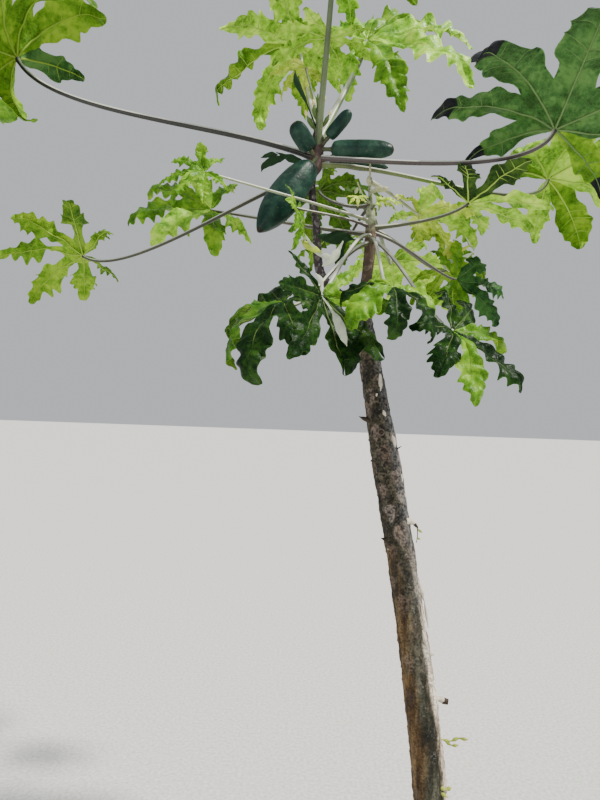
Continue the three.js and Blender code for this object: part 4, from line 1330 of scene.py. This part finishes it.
# Stage, in metres. The camera stands where the photograph was taken from, with a phone's usual lens.
FLOOR_HALF, FLOOR_DROP = 30, 0.0005
FLOOR_COLOUR = (0.72, 0.72, 0.7)
SUN_POWER, SUN_ANGLE = 6.6, 5
SUN_COLOUR = (1, 0.96, 0.88)
SUN_TOWARD = (-0.62, 0.18, -0.9)
FILL_POWER, FILL_SIZE = 55, 3.5
FILL_COLOUR = (0.97, 0.98, 1)
FILL_PLACE = (-3.0, -3.8, 1.2)
CROWN_MIDDLE = (-0.3, 0, 1.9)
SKY_COLOUR, SKY_STRENGTH = (0.92, 0.95, 1.0, 1), 0.6
CAMERA_PLACE, CAMERA_ROLL = (-0.44, -1.73, 1.55), 2
CAMERA_LENS, CAMERA_SENSOR = 27.99, 36


def leaf_looks():
    """For each green its upper and under side, veins, dry tips and stalk."""
    dry = plain_look("leaf_dry_tip", DRY_TIP, 0.45)
    looks = {}
    for green, colours in GREENS.items():
        looks[green] = (
            leaf_look(f"leaf_{green}_upper", *colours["upper"], 0.34, colours["gloss"]),
            leaf_look(f"leaf_{green}_under", *colours["under"], 0.58, 0.12),
            vein_look(f"leaf_{green}_vein", colours["vein"]),
            dry,
            stalk_look(f"stalk_{green}", colours["stalk"], STALK_TINGE),
        )
    return looks


def build_limbs():
    """Trunk and both stems. Gives the stems that the leaf stalks stand on."""
    axis = bezier(*TRUNK_AXIS, count=400)
    above = axis.share_at_height(0)
    radii = [(0, float(between(TRUNK_RADII, above)))]
    radii += [((share - above) / (1 - above), radius) for share, radius in TRUNK_RADII if share > above]
    bark_piece("trunk", "bark", bark_look(), Path(axis.at(np.linspace(above, 1, 700))), radii)
    stems = {"side": through(SIDE_STEM_AXIS), "upper": through(UPPER_STEM_AXIS)}
    for crown, radii in (("side", SIDE_STEM_RADII), ("upper", UPPER_STEM_RADII)):
        node = f"{crown}_stem"
        bark_piece(node, "stem", stem_look(f"{node}_bark", *STEM_COLOURS[node]), stems[crown], radii)
    return stems


def build_small_parts():
    """Stubs, scars and sprigs of the trunk, and the buds, flowers and scraps of leaf of both crowns."""
    looks = {name: plain_look(name, colour) for name, colour in SMALL_LOOKS.items()}
    for name, (slot, look, parts) in SMALL_PARTS.items():
        shape = Shape()
        wider = SCRAP_WIDTH if slot == "young_leaf" else 1
        for points, radii in parts:
            path = through(points)
            shares = np.linspace(0, 1, max(12, int(path.length / SMALL_RING)))
            stops = list(zip(np.linspace(0, 1, len(radii)), radii))
            shape.tube(path.at(shares), between(stops, shares) / wider, SMALL_SIDES, widen=wider)
        shape.piece(f"fine_{name}", [looks[look]], slot)


def add_light(name, kind, power, colour, toward, place=(0, 0, 0)):
    """A light at a place that shines in a direction."""
    lamp = bpy.data.lights.new(name, kind)
    lamp.energy, lamp.color = power, colour
    turn = Vector(toward).to_track_quat("-Z", "Y").to_matrix().to_4x4()
    add_object(name, lamp).matrix_world = Matrix.Translation(place) @ turn
    return lamp


def build_stage():
    """Pale floor, soft lights and a camera at the photograph's place."""
    floor = bpy.data.meshes.new("floor")
    far = FLOOR_HALF
    floor.from_pydata([(-far, -far, 0), (far, -far, 0), (far, far, 0), (-far, far, 0)], [], [(0, 1, 2, 3)])
    ground = add_object("floor", floor)
    ground.location.z = -FLOOR_DROP
    floor.materials.append(plain_look("floor_pale", FLOOR_COLOUR, 0.9))
    add_light("sun", "SUN", SUN_POWER, SUN_COLOUR, SUN_TOWARD).angle = math.radians(SUN_ANGLE)
    toward = Vector(CROWN_MIDDLE) - Vector(FILL_PLACE)
    add_light("fill", "AREA", FILL_POWER, FILL_COLOUR, toward, FILL_PLACE).size = FILL_SIZE
    world = bpy.data.worlds.new("soft_sky")
    world.use_nodes = True
    sky = world.node_tree.nodes["Background"].inputs
    sky["Color"].default_value = SKY_COLOUR
    sky["Strength"].default_value = SKY_STRENGTH
    bpy.context.scene.world = world
    lens = bpy.data.cameras.new("camera")
    lens.lens, lens.sensor_width = CAMERA_LENS, CAMERA_SENSOR
    camera = add_object("camera", lens)
    upright = Matrix.Rotation(math.radians(90), 4, "X")
    roll = Matrix.Rotation(math.radians(CAMERA_ROLL), 4, "Z")
    camera.matrix_world = Matrix.Translation(CAMERA_PLACE) @ upright @ roll
    bpy.context.scene.camera = camera


def main():
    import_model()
    stems = build_limbs()
    looks = leaf_looks()
    for crown, leaves, first_seed, lobes_each_side in CROWNS:
        for k, row in enumerate(leaves):
            leaf_pieces(crown, row, first_seed + k, lobes_each_side, stems[crown], looks)
    skin = fruit_look()
    for name, stem, end, radius, profile in FRUIT:
        fruit_piece(name, stem, end, radius, profile, skin)
    build_small_parts()
    build_stage()


main()
